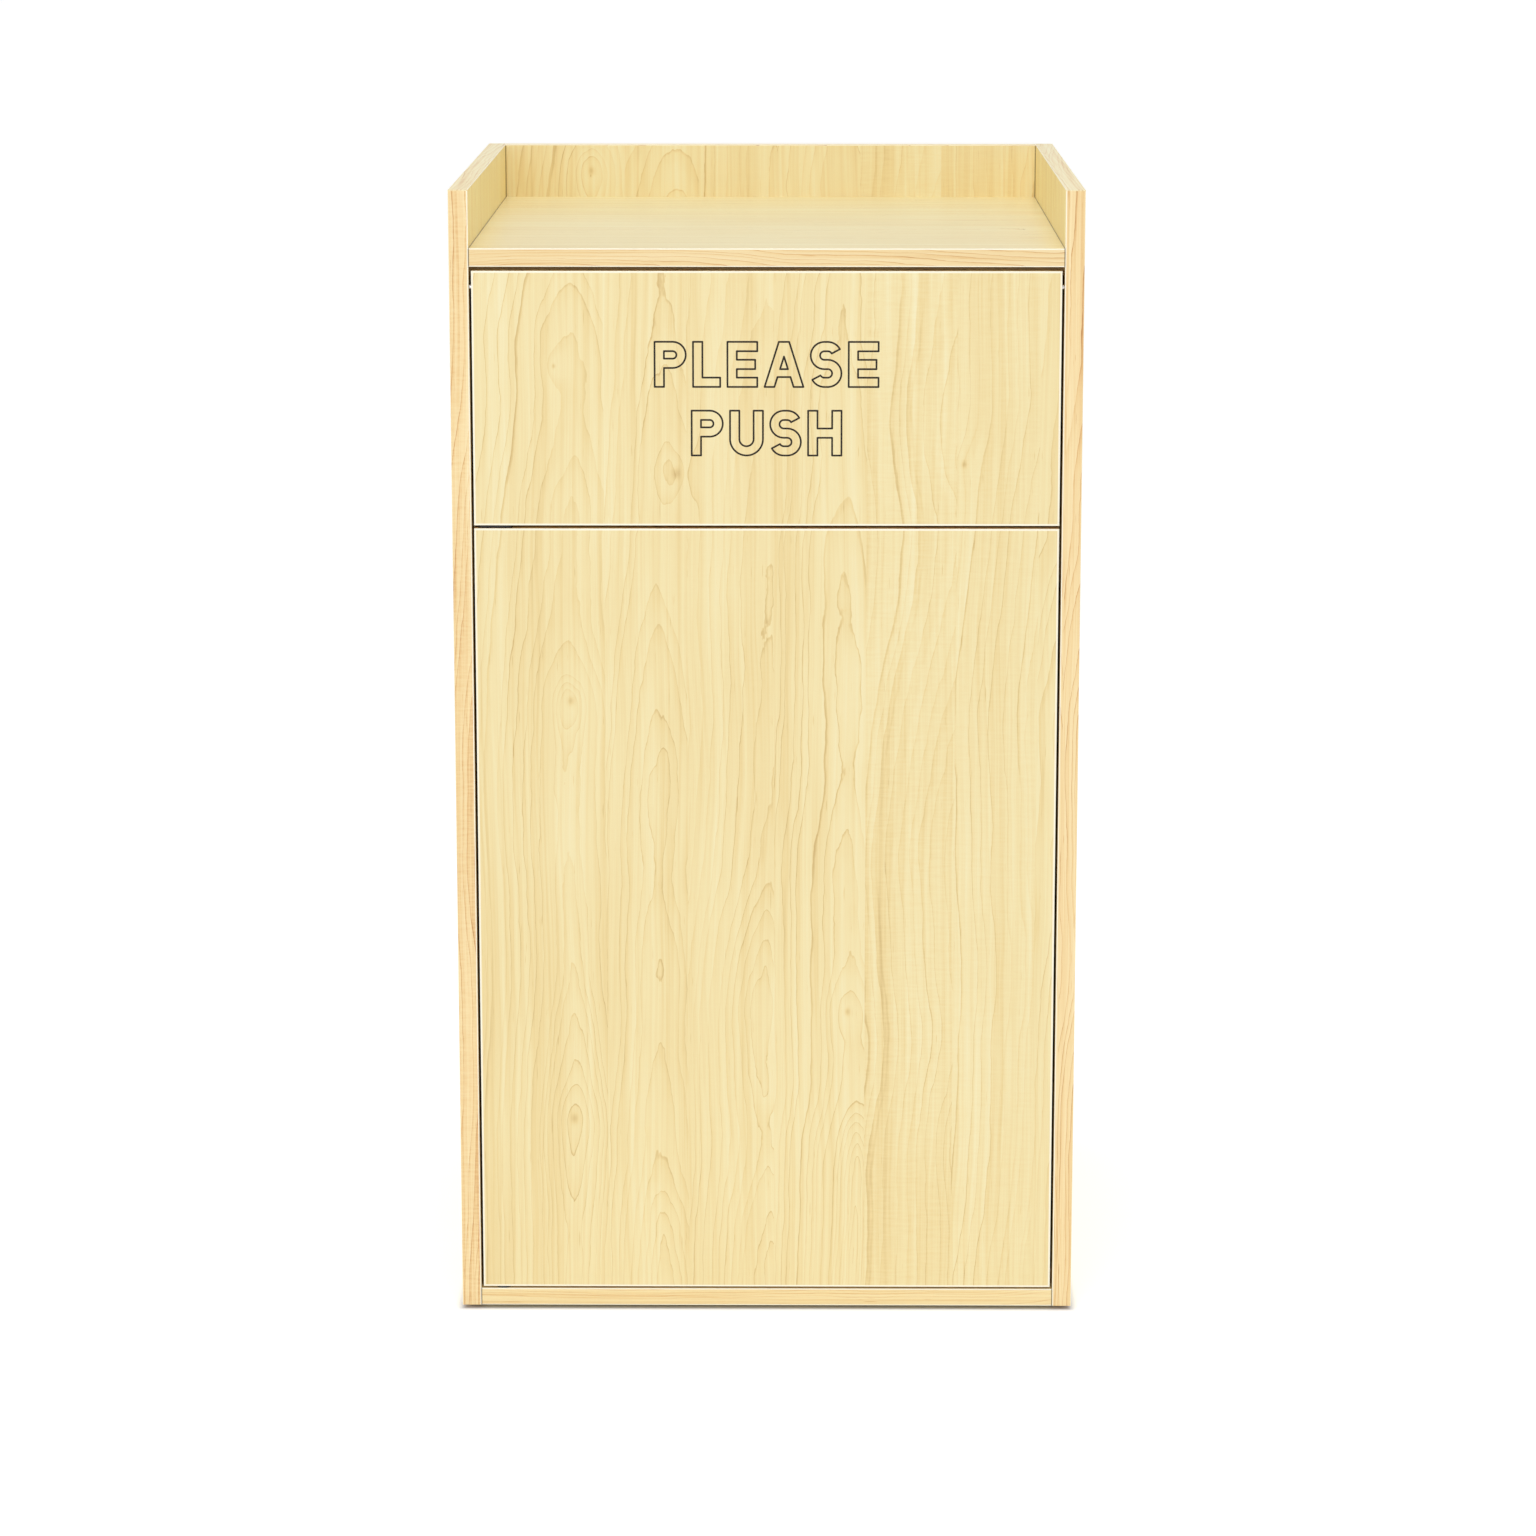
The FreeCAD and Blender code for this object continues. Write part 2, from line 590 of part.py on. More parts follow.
def make_flap_stop():
    """The strip under the tray top that the flap's upper edge rests against, with felt pads."""
    strip = box("strip_core", (f"-{INSIDE}", STRIP_FRONT, f"{TRAY_UNDER} - dims.strip_height"),
                (INNER_WIDTH, "dims.board", "dims.strip_height"))
    bores = solid("strip_bores", Part.makeCompound(screw_holes(strip_screws())))
    publish("flap_stop_strip", cut("flap_stop_strip", strip, bores))
    pads = [
        box(f"felt_{n}", (f"{share} * {INSIDE} - dims.felt_length / 2",
                          f"{STRIP_FRONT} - dims.felt_thick", f"{TRAY_UNDER} - dims.strip_height"),
            ("dims.felt_length", "dims.felt_thick", "dims.felt_height"))
        for n, share in enumerate((-0.8, 0, 0.8))
    ]
    publish("flap_stop_felts", group("flap_stop_felts", pads))
    screw_set("stop_strip_screws", strip_screws())


# --- door ----------------------------------------------------------------------------------------

def make_door():
    """The door's board with its bushes' seats, its bands, bushes and strike plate."""
    ends = (("top", DOOR_TOP, -Z_AXIS), ("bottom", DOOR_BOTTOM, Z_AXIS))
    seats, bushes = [], []
    for name, z, inward in ends:
        edge = (DOOR_AXIS_X, DOOR_AXIS_Y, z)
        seats.append(cylinder(f"door_{name}_seat", "dims.door_bush_dia", "dims.door_bush_length",
                              edge, inward))
        blank = cylinder(f"door_{name}_bush_blank", "dims.door_bush_dia", "dims.door_bush_length",
                         edge, inward)
        bore = cylinder(f"door_{name}_bore", "(dims.door_pin_dia + 2 * dims.running_clearance)",
                        "dims.door_pin_in_door + 1", edge, inward)
        bushes.append(cut(f"door_{name}_bush", blank, bore))
    seat_pair = group("door_seats", seats)
    core = box("door_core", (f"-{LEAF_HALF} + dims.band", FRONT, f"{DOOR_BOTTOM} + dims.band"),
               (f"2 * ({LEAF_HALF} - dims.band)", "dims.board",
                f"{DOOR_TOP} - {DOOR_BOTTOM} - 2 * dims.band"))
    drilled = cut("door_drilled", core, seat_pair)
    screw_bores = solid("strike_bores", Part.makeCompound(screw_holes(strike_screws())))
    publish("door_panel", cut("door_panel", drilled, screw_bores))
    leaf_bands("door", DOOR_BOTTOM, DOOR_TOP, seat_pair)
    publish("door_pivot_bushes", group("door_pivot_bushes", bushes))
    strike = box("strike_blank", (f"{CATCH_X} - dims.strike_width / 2", LEAF_BACK,
                                  f"{CATCH_Z} - dims.strike_height / 2"),
                 ("dims.strike_width", "dims.strike_thick", "dims.strike_height"))
    softened = rounded("strike_softened", strike, 2.5, lambda e: along(e, Y_AXIS))
    bores = solid("strike_plate_bores", Part.makeCompound(screw_holes(strike_screws())))
    publish("strike_plate", cut("strike_plate", softened, bores))
    screw_set("strike_screws", strike_screws())


def sill_pin_hole():
    start = Vector(place(DOOR_AXIS_X), place(DOOR_AXIS_Y), place(SILL))
    return rod(size("door_pin_dia"), size("door_pin_in_sill"), start, -Z_AXIS)


def make_door_pivots():
    """The pin and washer in the bottom panel, and the plate with its pin on the cross rail."""
    at_axis = (DOOR_AXIS_X, DOOR_AXIS_Y)
    lower = cylinder("lower_pin_blank", "dims.door_pin_dia",
                     "dims.door_pin_in_sill + dims.sill_gap + dims.door_pin_in_door",
                     (*at_axis, f"{SILL} - dims.door_pin_in_sill"), Z_AXIS)
    publish("door_bottom_pin", rounded("door_bottom_pin", lower, 0.8, lambda e: e.Closed))
    thick = "(dims.sill_gap - dims.seat_clearance)"
    disc = cylinder("washer_disc", "dims.washer_dia", thick, (*at_axis, SILL), Z_AXIS)
    hole = cylinder("washer_hole", "(dims.door_pin_dia + 2 * dims.running_clearance)", thick,
                    (*at_axis, SILL), Z_AXIS)
    publish("door_washer", cut("door_washer", disc, hole))
    plate_y = f"({FRONT} + dims.plate_front)"
    blank = box("plate_blank", (f"{DOOR_AXIS_X} - dims.plate_width / 2", plate_y, RAIL_TOP),
                ("dims.plate_width", "dims.rail_setback + dims.board - dims.plate_front",
                 "dims.plate_thick"))
    plain = rounded("plate_plain", blank, 4, lambda e: along(e, Z_AXIS))
    seat = cylinder("plate_seat", "dims.door_pin_dia", "dims.plate_thick",
                    (*at_axis, RAIL_TOP), Z_AXIS)
    bored = cut("plate_bored", plain, seat)
    bores = solid("plate_bores", Part.makeCompound(screw_holes(plate_screws())))
    publish("door_pivot_plate", cut("door_pivot_plate", bored, bores))
    upper = cylinder("upper_pin_blank", "dims.door_pin_dia",
                     "dims.door_pin_in_door + dims.rail_drop + dims.plate_thick",
                     (*at_axis, f"{DOOR_TOP} - dims.door_pin_in_door"), Z_AXIS)
    doc.recompute()
    foot = upper.Shape.BoundBox.ZMin
    publish("door_top_pin", rounded(
        "door_top_pin", upper, 0.8, lambda e: e.Closed and abs(e.CenterOfMass.z - foot) < 1e-6))
    screw_set("pivot_plate_screws", plate_screws())


def make_catch():
    """The magnetic catch on the cross rail, behind the door's free side."""
    depth = f"({RAIL_FRONT} - {CATCH_FRONT})"
    housing = box("catch_housing", (f"{CATCH_X} - dims.catch_width / 2", CATCH_FRONT,
                                    f"{CATCH_Z} - dims.catch_height / 2"),
                  ("dims.catch_width", depth, "dims.catch_height"))
    softened = rounded("catch_softened", housing, 2, lambda e: along(e, Y_AXIS))
    magnet_at = (f"{CATCH_X} - dims.magnet_width / 2", f"{CATCH_FRONT} - dims.magnet_proud",
                 f"{CATCH_Z} - dims.magnet_height / 2")
    magnet_size = ("dims.magnet_width", f"dims.magnet_proud + {depth} / 2", "dims.magnet_height")
    pocket = box("magnet_pocket", magnet_at, magnet_size)
    hollowed = cut("catch_hollowed", softened, pocket)
    bores = solid("catch_bores", Part.makeCompound(screw_holes(catch_screws())))
    publish("catch_body", cut("catch_body", hollowed, bores))
    publish("catch_magnet", box("catch_magnet", magnet_at, magnet_size))
    screw_set("catch_screws", catch_screws())


# --- what stands on the floor of the cabinet -----------------------------------------------------

def make_stop_block():
    """The block that the door's free side rests against at the bottom."""
    block = box("stop_block_core", (f"{INSIDE} - dims.stop_size",
                                    f"{LEAF_BACK} + dims.seat_clearance", SILL),
                ("dims.stop_size", "dims.stop_size", "dims.stop_size"))
    bores = solid("stop_block_bores", Part.makeCompound(screw_holes(stop_block_screws())))
    publish("door_stop_block", cut("door_stop_block", block, bores))
    screw_set("stop_block_screw", stop_block_screws())


def make_guides():
    """Two side guides and a rear stop that keep the bin in place."""
    bores = solid("guide_bores", Part.makeCompound(screw_holes(guide_screws())))
    for name, x in (("left_bin_guide", f"-{GUIDE_X} - dims.guide_size"),
                    ("right_bin_guide", GUIDE_X)):
        core = box(f"{name}_core", (x, f"{BIN_Y} - {GUIDE_HALF}", SILL),
                   ("dims.guide_size", f"2 * {GUIDE_HALF}", "dims.guide_size"))
        publish(name, cut(name, core, bores))
    core = box("rear_stop_core", (f"-{GUIDE_HALF}", REAR_STOP_Y, SILL),
               (f"2 * {GUIDE_HALF}", "dims.guide_size", "dims.guide_size"))
    publish("rear_bin_stop", cut("rear_bin_stop", core, bores))
    screw_set("guide_screws", guide_screws())


def tapered(name, top_half, base_half, bottom, height, corner):
    """A square block on the bin's axis, wider at the top, with rounded upright edges."""
    block = doc.addObject("Part::Wedge", name + "_block")
    block.Placement.Rotation = Rotation(X_AXIS, 90)
    bind(block, {
        "Xmin": f"-{base_half}", "Xmax": base_half, "Zmin": f"-{base_half}", "Zmax": base_half,
        "X2min": f"-{top_half}", "X2max": top_half, "Z2min": f"-{top_half}", "Z2max": top_half,
        "Ymin": "0", "Ymax": height, "Placement.Base.y": BIN_Y, "Placement.Base.z": bottom,
    })
    return rounded(name, block, corner, lambda e: abs(e.tangentAt(e.FirstParameter).z) > 0.9)


def make_bin():
    """A tapered square tub with a flat rim and a hand hole in each side."""
    wall, corner, tall = size("bin_wall"), size("bin_corner"), f"({BIN_TOP} - {BIN_FOOT})"
    tub = tapered("tub_outside", TUB_HALF, BASE_HALF, BIN_FOOT, tall, corner)
    hollow = tapered("tub_inside", f"({TUB_HALF} - dims.bin_wall)", f"({BASE_HALF} - dims.bin_wall)",
                     f"{BIN_FOOT} + dims.bin_wall", f"{tall} - dims.bin_wall", corner - wall)
    slab = box("rim_slab", (f"-{RIM_HALF}", f"{BIN_Y} - {RIM_HALF}", f"{BIN_TOP} - dims.bin_rim_high"),
               (f"2 * {RIM_HALF}", f"2 * {RIM_HALF}", "dims.bin_rim_high"))
    rim = rounded("bin_rim", slab, corner + size("bin_rim"), lambda e: along(e, Z_AXIS))
    slot = box("hand_slot", (f"-{RIM_HALF}", f"{BIN_Y} - dims.hand_hole_width / 2",
                             f"{BIN_TOP} - dims.hand_hole_drop - dims.hand_hole_height"),
               (f"2 * {RIM_HALF}", "dims.hand_hole_width", "dims.hand_hole_height"))
    holes = rounded("hand_holes", slot, size("hand_hole_height") / 2 - 1, lambda e: along(e, X_AXIS))
    whole = fuse("bin_whole", [tub, rim])
    hollowed = cut("bin_hollowed", whole, hollow)
    publish("collection_bin", cut("collection_bin", hollowed, holes))


def nail_places():
    inset = size("glide_inset")
    x, y = size("cab_width") / 2 - inset, size("cab_depth") / 2 - inset
    return [Vector(a * x, b * y, size("glide_height")) for a in (-1, 1) for b in (-1, 1)]


def nail_holes():
    return [rod(size("nail_dia"), size("nail_length"), p, Z_AXIS) for p in nail_places()]


def make_glides():
    """Four nail-on glides, each a domed foot turned in one piece with its nail."""
    height, radius, dome = size("glide_height"), size("glide_dia") / 2, 1.5
    outline = [
        Vector(0, 0, -height), Vector(radius - dome, 0, -height), Vector(radius, 0, dome - height),
        Vector(radius, 0, 0), Vector(size("nail_dia") / 2, 0, 0),
        Vector(size("nail_dia") / 2, 0, size("nail_length") - 2), Vector(0, 0, size("nail_length")),
    ]
    bend = Part.Arc(outline[1], Vector(radius - dome * (1 - math.sin(math.pi / 4)), 0,
                                       dome * (1 - math.cos(math.pi / 4)) - height), outline[2])
    edges = [Part.makeLine(outline[0], outline[1]), bend.toShape()]
    edges += [Part.makeLine(a, b) for a, b in zip(outline[2:], outline[3:] + outline[:1])]
    glide = Part.Face(Part.Wire(edges)).revolve(Vector(), Z_AXIS, 360)
    copies = []
    for at in nail_places():
        copy = glide.copy()
        copy.translate(at)
        copies.append(copy)
    publish("glides", solid("glides", Part.makeCompound(copies)))


# --- lettering -----------------------------------------------------------------------------------

def polygon(*points):
    corners = [Vector(x, y, 0) for x, y in points]
    return Part.Face(Part.makePolygon(corners + corners[:1]))


def bar(x0, y0, x1, y1):
    return polygon((x0, y0), (x1, y0), (x1, y1), (x0, y1))


def sector(x, y, outer, inner, start, end):
    """Part of a ring, from angle start to angle end in degrees."""
    arcs = [
        Part.ArcOfCircle(Part.Circle(Vector(x, y, 0), Z_AXIS, r), math.radians(start),
                         math.radians(end)).toShape()
        for r in (outer, inner)
    ]
    ends = [
        Part.makeLine(arcs[0].valueAt(arcs[0].LastParameter), arcs[1].valueAt(arcs[1].LastParameter)),
        Part.makeLine(arcs[1].valueAt(arcs[1].FirstParameter), arcs[0].valueAt(arcs[0].FirstParameter)),
    ]
    return Part.Face(Part.Wire([arcs[0], ends[0], arcs[1], ends[1]]))


def letter_p(tall, stroke):
    wide, bowl = 0.69 * tall, 0.29 * tall
    return wide, [
        bar(0, 0, stroke, tall),
        bar(0, tall - stroke, wide - bowl, tall),
        bar(0, tall - 2 * bowl, wide - bowl, tall - 2 * bowl + stroke),
        sector(wide - bowl, tall - bowl, bowl, bowl - stroke, -90, 90),
    ]


def letter_l(tall, stroke):
    wide = 0.6 * tall
    return wide, [bar(0, 0, stroke, tall), bar(0, 0, wide, stroke)]


def letter_e(tall, stroke):
    wide = 0.66 * tall
    middle = (tall - stroke) / 2
    return wide, [
        bar(0, 0, stroke, tall), bar(0, 0, wide, stroke), bar(0, tall - stroke, wide, tall),
        bar(0, middle, 0.93 * wide, middle + stroke),
    ]


def letter_a(tall, stroke):
    wide, apex = 0.86 * tall, 1.1 * stroke
    lean = (wide - apex) / 2 / tall
    leg = stroke * math.hypot(1, lean)
    low, high = 0.22 * tall, 0.22 * tall + 0.85 * stroke

    def inner(y):
        return leg + y * lean

    whole = polygon((0, 0), (wide, 0), ((wide + apex) / 2, tall), ((wide - apex) / 2, tall))
    notch = polygon((leg, 0), (wide - leg, 0), (wide - inner(low), low), (inner(low), low))
    eye = polygon((inner(high), high), (wide - inner(high), high),
                  (wide / 2, (wide / 2 - leg) / lean))
    return wide, [whole.cut(notch).cut(eye)]


def letter_s(tall, stroke):
    wide, bend = 0.68 * tall, (tall + stroke) / 4
    hook = 28
    return wide, [
        sector(bend, tall - bend, bend, bend - stroke, 90, 270),
        sector(wide - bend, tall - bend, bend, bend - stroke, hook, 90),
        sector(wide - bend, bend, bend, bend - stroke, -90, 90),
        sector(bend, bend, bend, bend - stroke, 180 + hook, 270),
        bar(bend, tall - stroke, wide - bend, tall),
        bar(bend, tall - 2 * bend, wide - bend, tall - 2 * bend + stroke),
        bar(bend, 0, wide - bend, stroke),
    ]


def letter_u(tall, stroke):
    wide = 0.73 * tall
    bend = wide / 2
    return wide, [
        bar(0, bend, stroke, tall), bar(wide - stroke, bend, wide, tall),
        sector(bend, bend, bend, bend - stroke, 180, 360),
    ]


def letter_h(tall, stroke):
    wide, middle = 0.74 * tall, (tall - stroke) / 2
    return wide, [
        bar(0, 0, stroke, tall), bar(wide - stroke, 0, wide, tall),
        bar(0, middle, wide, middle + stroke),
    ]


LETTERS = {"P": letter_p, "L": letter_l, "E": letter_e, "A": letter_a, "S": letter_s,
           "U": letter_u, "H": letter_h}


def routed_outline(face):
    """The groove that a round cutter leaves as it follows each outline of a letter."""
    half = size("groove_width") / 2
    rings = [
        Part.Face(wire.makeOffset2D(half)).cut(Part.Face(wire.makeOffset2D(-half)))
        for wire in face.Wires
    ]
    return [ring.extrude(Z_AXIS * (size("groove_depth") + 1)) for ring in rings]


def lettering():
    """Both lines of routed capitals, centred on the flap, as the solids to cut away."""
    tall, stroke, gap = size("letter_height"), size("letter_stroke"), size("letter_gap")
    top = place(FLAP_TOP) - size("letter_drop")
    grooves = []
    for row, word in enumerate(("PLEASE", "PUSH")):
        drawn = [LETTERS[letter](tall, stroke) for letter in word]
        pen = -(sum(wide for wide, _ in drawn) + gap * (len(drawn) - 1)) / 2
        base = top - tall - row * (tall + size("line_gap"))
        for wide, strokes in drawn:
            joined = strokes[0].multiFuse(strokes[1:]).removeSplitter() if strokes[1:] else strokes[0]
            for face in joined.Faces:
                for groove in routed_outline(face):
                    groove.rotate(Vector(), X_AXIS, 90)
                    groove.translate(Vector(pen, place(FRONT) + size("groove_depth"), base))
                    grooves.append(groove)
            pen += wide + gap
    return Part.makeCompound(grooves)


# --- everything ----------------------------------------------------------------------------------

def export():
    """Checks every object and writes one STEP file for each piece."""
    doc.recompute()
    for item in doc.Objects:
        if {"Invalid", "Error"} & set(item.State):
            raise RuntimeError(f"{item.Name} failed: {item.State}")
    for name, item in pieces.items():
        if item.Shape.isNull() or not item.Shape.isValid() or not item.Shape.Solids:
            raise RuntimeError(f"{name} has no valid solid")
    os.makedirs("parts", exist_ok=True)
    for name, item in pieces.items():
        item.Shape.exportStep(f"parts/{name}.step")
        print(f"{name}: {len(item.Shape.Solids)} solids, {item.Shape.Volume / 1000:.1f} cm3")


pieces = {}
sheet = make_sheet()
probe = doc.addObject("App::FeaturePython", "probe")
joints = joint_places()
make_side_panels(joints)
make_boards(joints)
make_carcass_bands()
make_fittings(joints)
make_glides()
make_flap_stop()
make_flap()
make_door()
make_door_pivots()
make_catch()
make_stop_block()
make_guides()
make_bin()
export()
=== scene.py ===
"""The drop box cabinet's looks: camera, studio light, and a procedural material for every CAD node."""

import math

import bmesh
import bpy
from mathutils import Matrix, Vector


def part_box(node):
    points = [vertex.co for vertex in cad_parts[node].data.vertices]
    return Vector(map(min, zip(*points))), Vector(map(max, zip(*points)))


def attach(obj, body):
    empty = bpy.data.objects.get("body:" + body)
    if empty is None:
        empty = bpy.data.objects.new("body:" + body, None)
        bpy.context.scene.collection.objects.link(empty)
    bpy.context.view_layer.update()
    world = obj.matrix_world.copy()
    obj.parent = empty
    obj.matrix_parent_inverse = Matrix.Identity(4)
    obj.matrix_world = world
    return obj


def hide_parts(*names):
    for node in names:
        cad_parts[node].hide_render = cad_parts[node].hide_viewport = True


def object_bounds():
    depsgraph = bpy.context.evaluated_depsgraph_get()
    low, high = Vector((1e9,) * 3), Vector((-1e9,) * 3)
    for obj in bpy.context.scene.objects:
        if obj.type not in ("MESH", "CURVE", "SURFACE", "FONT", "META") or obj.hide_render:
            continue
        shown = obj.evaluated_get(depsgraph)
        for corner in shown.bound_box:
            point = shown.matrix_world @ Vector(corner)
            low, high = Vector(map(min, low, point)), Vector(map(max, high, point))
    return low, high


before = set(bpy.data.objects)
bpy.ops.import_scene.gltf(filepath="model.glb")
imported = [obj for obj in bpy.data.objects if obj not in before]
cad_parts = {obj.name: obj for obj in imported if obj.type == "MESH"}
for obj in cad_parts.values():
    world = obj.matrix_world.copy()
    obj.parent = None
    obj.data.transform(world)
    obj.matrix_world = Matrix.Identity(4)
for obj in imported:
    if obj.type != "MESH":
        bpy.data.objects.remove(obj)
cad_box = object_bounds()
scene = bpy.context.scene
scene.view_settings.view_transform = "Standard"
scene.view_settings.look = "None"

X, Y, Z = 0, 1, 2
LOW, HIGH = cad_box
FRONT = LOW.y
SIDE_BOARD = 0.019
INSIDE = HIGH.x - SIDE_BOARD  # the side panels' inner faces


# --- camera --------------------------------------------------------------------------------------

CAMERA_PLACE = (0.032, FRONT - 4.5, 1.487)
CAMERA_DOWN, CAMERA_LEFT = 11.71, 0.39  # degrees
CAMERA_LENS = 110.0


def make_camera():
    """A long lens without shift, in front of the cabinet and above it."""
    data = bpy.data.cameras.new("camera")
    camera = bpy.data.objects.new("camera", data)
    scene.collection.objects.link(camera)
    camera.location = CAMERA_PLACE
    camera.rotation_euler = (math.radians(90 - CAMERA_DOWN), 0.0, math.radians(CAMERA_LEFT))
    data.sensor_width = 36.0
    data.lens = CAMERA_LENS
    data.clip_end = 100.0
    scene.camera = camera


make_camera()


# --- node trees in short calls -------------------------------------------------------------------

def linear(red, green, blue):
    """An sRGB colour from 0 to 255 as the linear colour that a shader takes."""
    def one(value):
        value /= 255
        return value / 12.92 if value <= 0.04045 else ((value + 0.055) / 1.055) ** 2.4
    return (one(red), one(green), one(blue), 1.0)


class Tree:
    """Adds nodes to a tree and joins them up."""

    def __init__(self, tree):
        self.tree = tree

    def add(self, kind, inputs=None, **settings):
        node = self.tree.nodes.new(kind)
        for name, value in settings.items():
            setattr(node, name, value)
        for key, value in (inputs or {}).items():
            self.feed(node.inputs[key], value)
        return node

    def feed(self, socket, value):
        """Links a socket's value to another socket, or sets it to a constant."""
        if isinstance(value, bpy.types.NodeSocket):
            self.tree.links.new(value, socket)
        else:
            socket.default_value = value

    def math(self, operation, *values):
        return self.add("ShaderNodeMath", dict(enumerate(values)), operation=operation).outputs[0]

    def vector(self, x, y, z=0.0):
        return self.add("ShaderNodeCombineXYZ", {0: x, 1: y, 2: z}).outputs[0]

    def split(self, vector):
        return self.add("ShaderNodeSeparateXYZ", {0: vector}).outputs

    def noise(self, vector, scale=1.0, detail=2.0, roughness=0.5):
        """Noise from 0 to 1."""
        return self.add("ShaderNodeTexNoise", {
            "Vector": vector, "Scale": scale, "Detail": detail, "Roughness": roughness}).outputs["Fac"]

    def grain(self, place, fine_across, fine_along, seed, detail, roughness=0.5):
        """Noise with its own fineness across and along the grain, in waves per metre."""
        across, along, depth = place
        return self.noise(self.vector(
            self.math("MULTIPLY_ADD", across, fine_across, seed),
            self.math("MULTIPLY", along, fine_along),
            self.math("MULTIPLY", depth, fine_across)), detail=detail, roughness=roughness)

    def centred(self, value):
        """A value from 0 to 1 as one from -0.5 to 0.5."""
        return self.math("SUBTRACT", value, 0.5)

    def ramp(self, value, stops, interpolation="LINEAR"):
        """Colour from (position, colour) pairs."""
        node = self.add("ShaderNodeValToRGB", {"Fac": value})
        node.color_ramp.interpolation = interpolation
        elements = node.color_ramp.elements
        while len(elements) < len(stops):
            elements.new(1.0)
        for element, (position, _) in zip(elements, stops):
            element.position = position
        for element, (_, colour) in zip(elements, stops):
            element.color = colour
        return node.outputs["Color"]

    def window(self, value, low, high):
        """0 below low and 1 above high, or the other way round if low is the larger."""
        return self.add("ShaderNodeMapRange", {
            "Value": value, "From Min": low, "From Max": high}, clamp=True).outputs["Result"]

    def mix(self, share, first, second, blend="MIX"):
        node = self.add("ShaderNodeMix", data_type="RGBA", blend_type=blend)
        inputs = {socket.identifier: socket for socket in node.inputs}
        self.feed(inputs["Factor_Float"], share)
        self.feed(inputs["A_Color"], first)
        self.feed(inputs["B_Color"], second)
        return next(socket for socket in node.outputs if socket.identifier == "Result_Color")

    def tinted(self, colour, tint):
        return self.mix(1.0, colour, (*tint, 1.0), "MULTIPLY")

    def bump(self, height, strength, distance):
        return self.add("ShaderNodeBump", {
            "Height": height, "Strength": strength, "Distance": distance}).outputs["Normal"]


def new_material(name):
    material = bpy.data.materials.new(name)
    material.use_nodes = True
    return material, Tree(material.node_tree), material.node_tree.nodes["Principled BSDF"]


def join(t, shader, values):
    """Links or sets a shader's named inputs."""
    for key, value in values.items():
        t.feed(shader.inputs[key], value)


def paint(material, *nodes):
    """Gives CAD nodes a material."""
    for name in nodes:
        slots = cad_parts[name].material_slots
        if not slots:
            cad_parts[name].data.materials.append(material)
        for slot in slots:
            slot.material = material


# --- light and floor -----------------------------------------------------------------------------

WHITE = (1.0, 1.0, 1.0, 1.0)
AMBIENT = 0.65  # the world's light, as a share of the white that the camera sees
LIGHT_SIZE = 1.8
LIGHTS = [("key", (-1.2, -5.2, 2.1), (0, 0, 0.8), 28), ("top", (0, -0.6, 3.6), (0, 0, 1.0), 33)]
FLOOR_REACH = 80.0
PAPER = (0.84, 0.84, 0.84, 1.0)
PAPER_GLOW = 0.47
GLOW_START, GLOW_FULL = HIGH.x - 0.004, HIGH.x + 0.008


def make_world():
    """A backdrop seen as white paper, though it gives less light than white paper would."""
    world = bpy.data.worlds.new("studio")
    world.use_nodes = True
    scene.world = world
    nodes, t = world.node_tree.nodes, Tree(world.node_tree)
    ambient = nodes["Background"]
    ambient.inputs["Color"].default_value = WHITE
    ambient.inputs["Strength"].default_value = AMBIENT
    backdrop = t.add("ShaderNodeBackground", {"Color": WHITE, "Strength": 1.0})
    seen = t.add("ShaderNodeLightPath").outputs["Is Camera Ray"]
    either = t.add("ShaderNodeMixShader", {0: seen, 1: ambient.outputs[0], 2: backdrop.outputs[0]})
    t.feed(nodes["World Output"].inputs["Surface"], either.outputs[0])


def make_light(name, place, aim, watts):
    """A disk light at a place, aimed at a point."""
    data = bpy.data.lights.new(name, "AREA")
    data.shape, data.size, data.energy = "DISK", LIGHT_SIZE, watts
    light = bpy.data.objects.new(name, data)
    scene.collection.objects.link(light)
    light.location = place
    light.rotation_euler = (Vector(aim) - Vector(place)).to_track_quat("-Z", "Y").to_euler()


def make_floor():
    """A sheet of white paper with the cabinet's shadow on it."""
    mesh = bpy.data.meshes.new("floor")
    corners = [(x * FLOOR_REACH, y * FLOOR_REACH, 0) for x, y in ((-1, -1), (1, -1), (1, 1), (-1, 1))]
    mesh.from_pydata(corners, [], [(0, 1, 2, 3)])
    floor = bpy.data.objects.new("floor", mesh)
    scene.collection.objects.link(floor)
    paper, t, shader = new_material("floor")
    # The paper's own glow, which keeps it white, ends at the cabinet's plan and leaves its shadow.
    place = t.split(t.add("ShaderNodeTexCoord").outputs["Object"])
    outside = t.math("MAXIMUM", t.math("ABSOLUTE", place[X]), t.math("ABSOLUTE", place[Y]))
    join(t, shader, {
        "Base Color": PAPER, "Roughness": 0.9, "Specular IOR Level": 0.1, "Emission Color": WHITE,
        "Emission Strength": t.add("ShaderNodeMapRange", {
            "Value": outside, "From Min": GLOW_START, "From Max": GLOW_FULL,
            "To Max": PAPER_GLOW}).outputs["Result"],
    })
    mesh.materials.append(paper)


make_world()
for light in LIGHTS:
    make_light(*light)
make_floor()


# --- the printed maple laminate ------------------------------------------------------------------

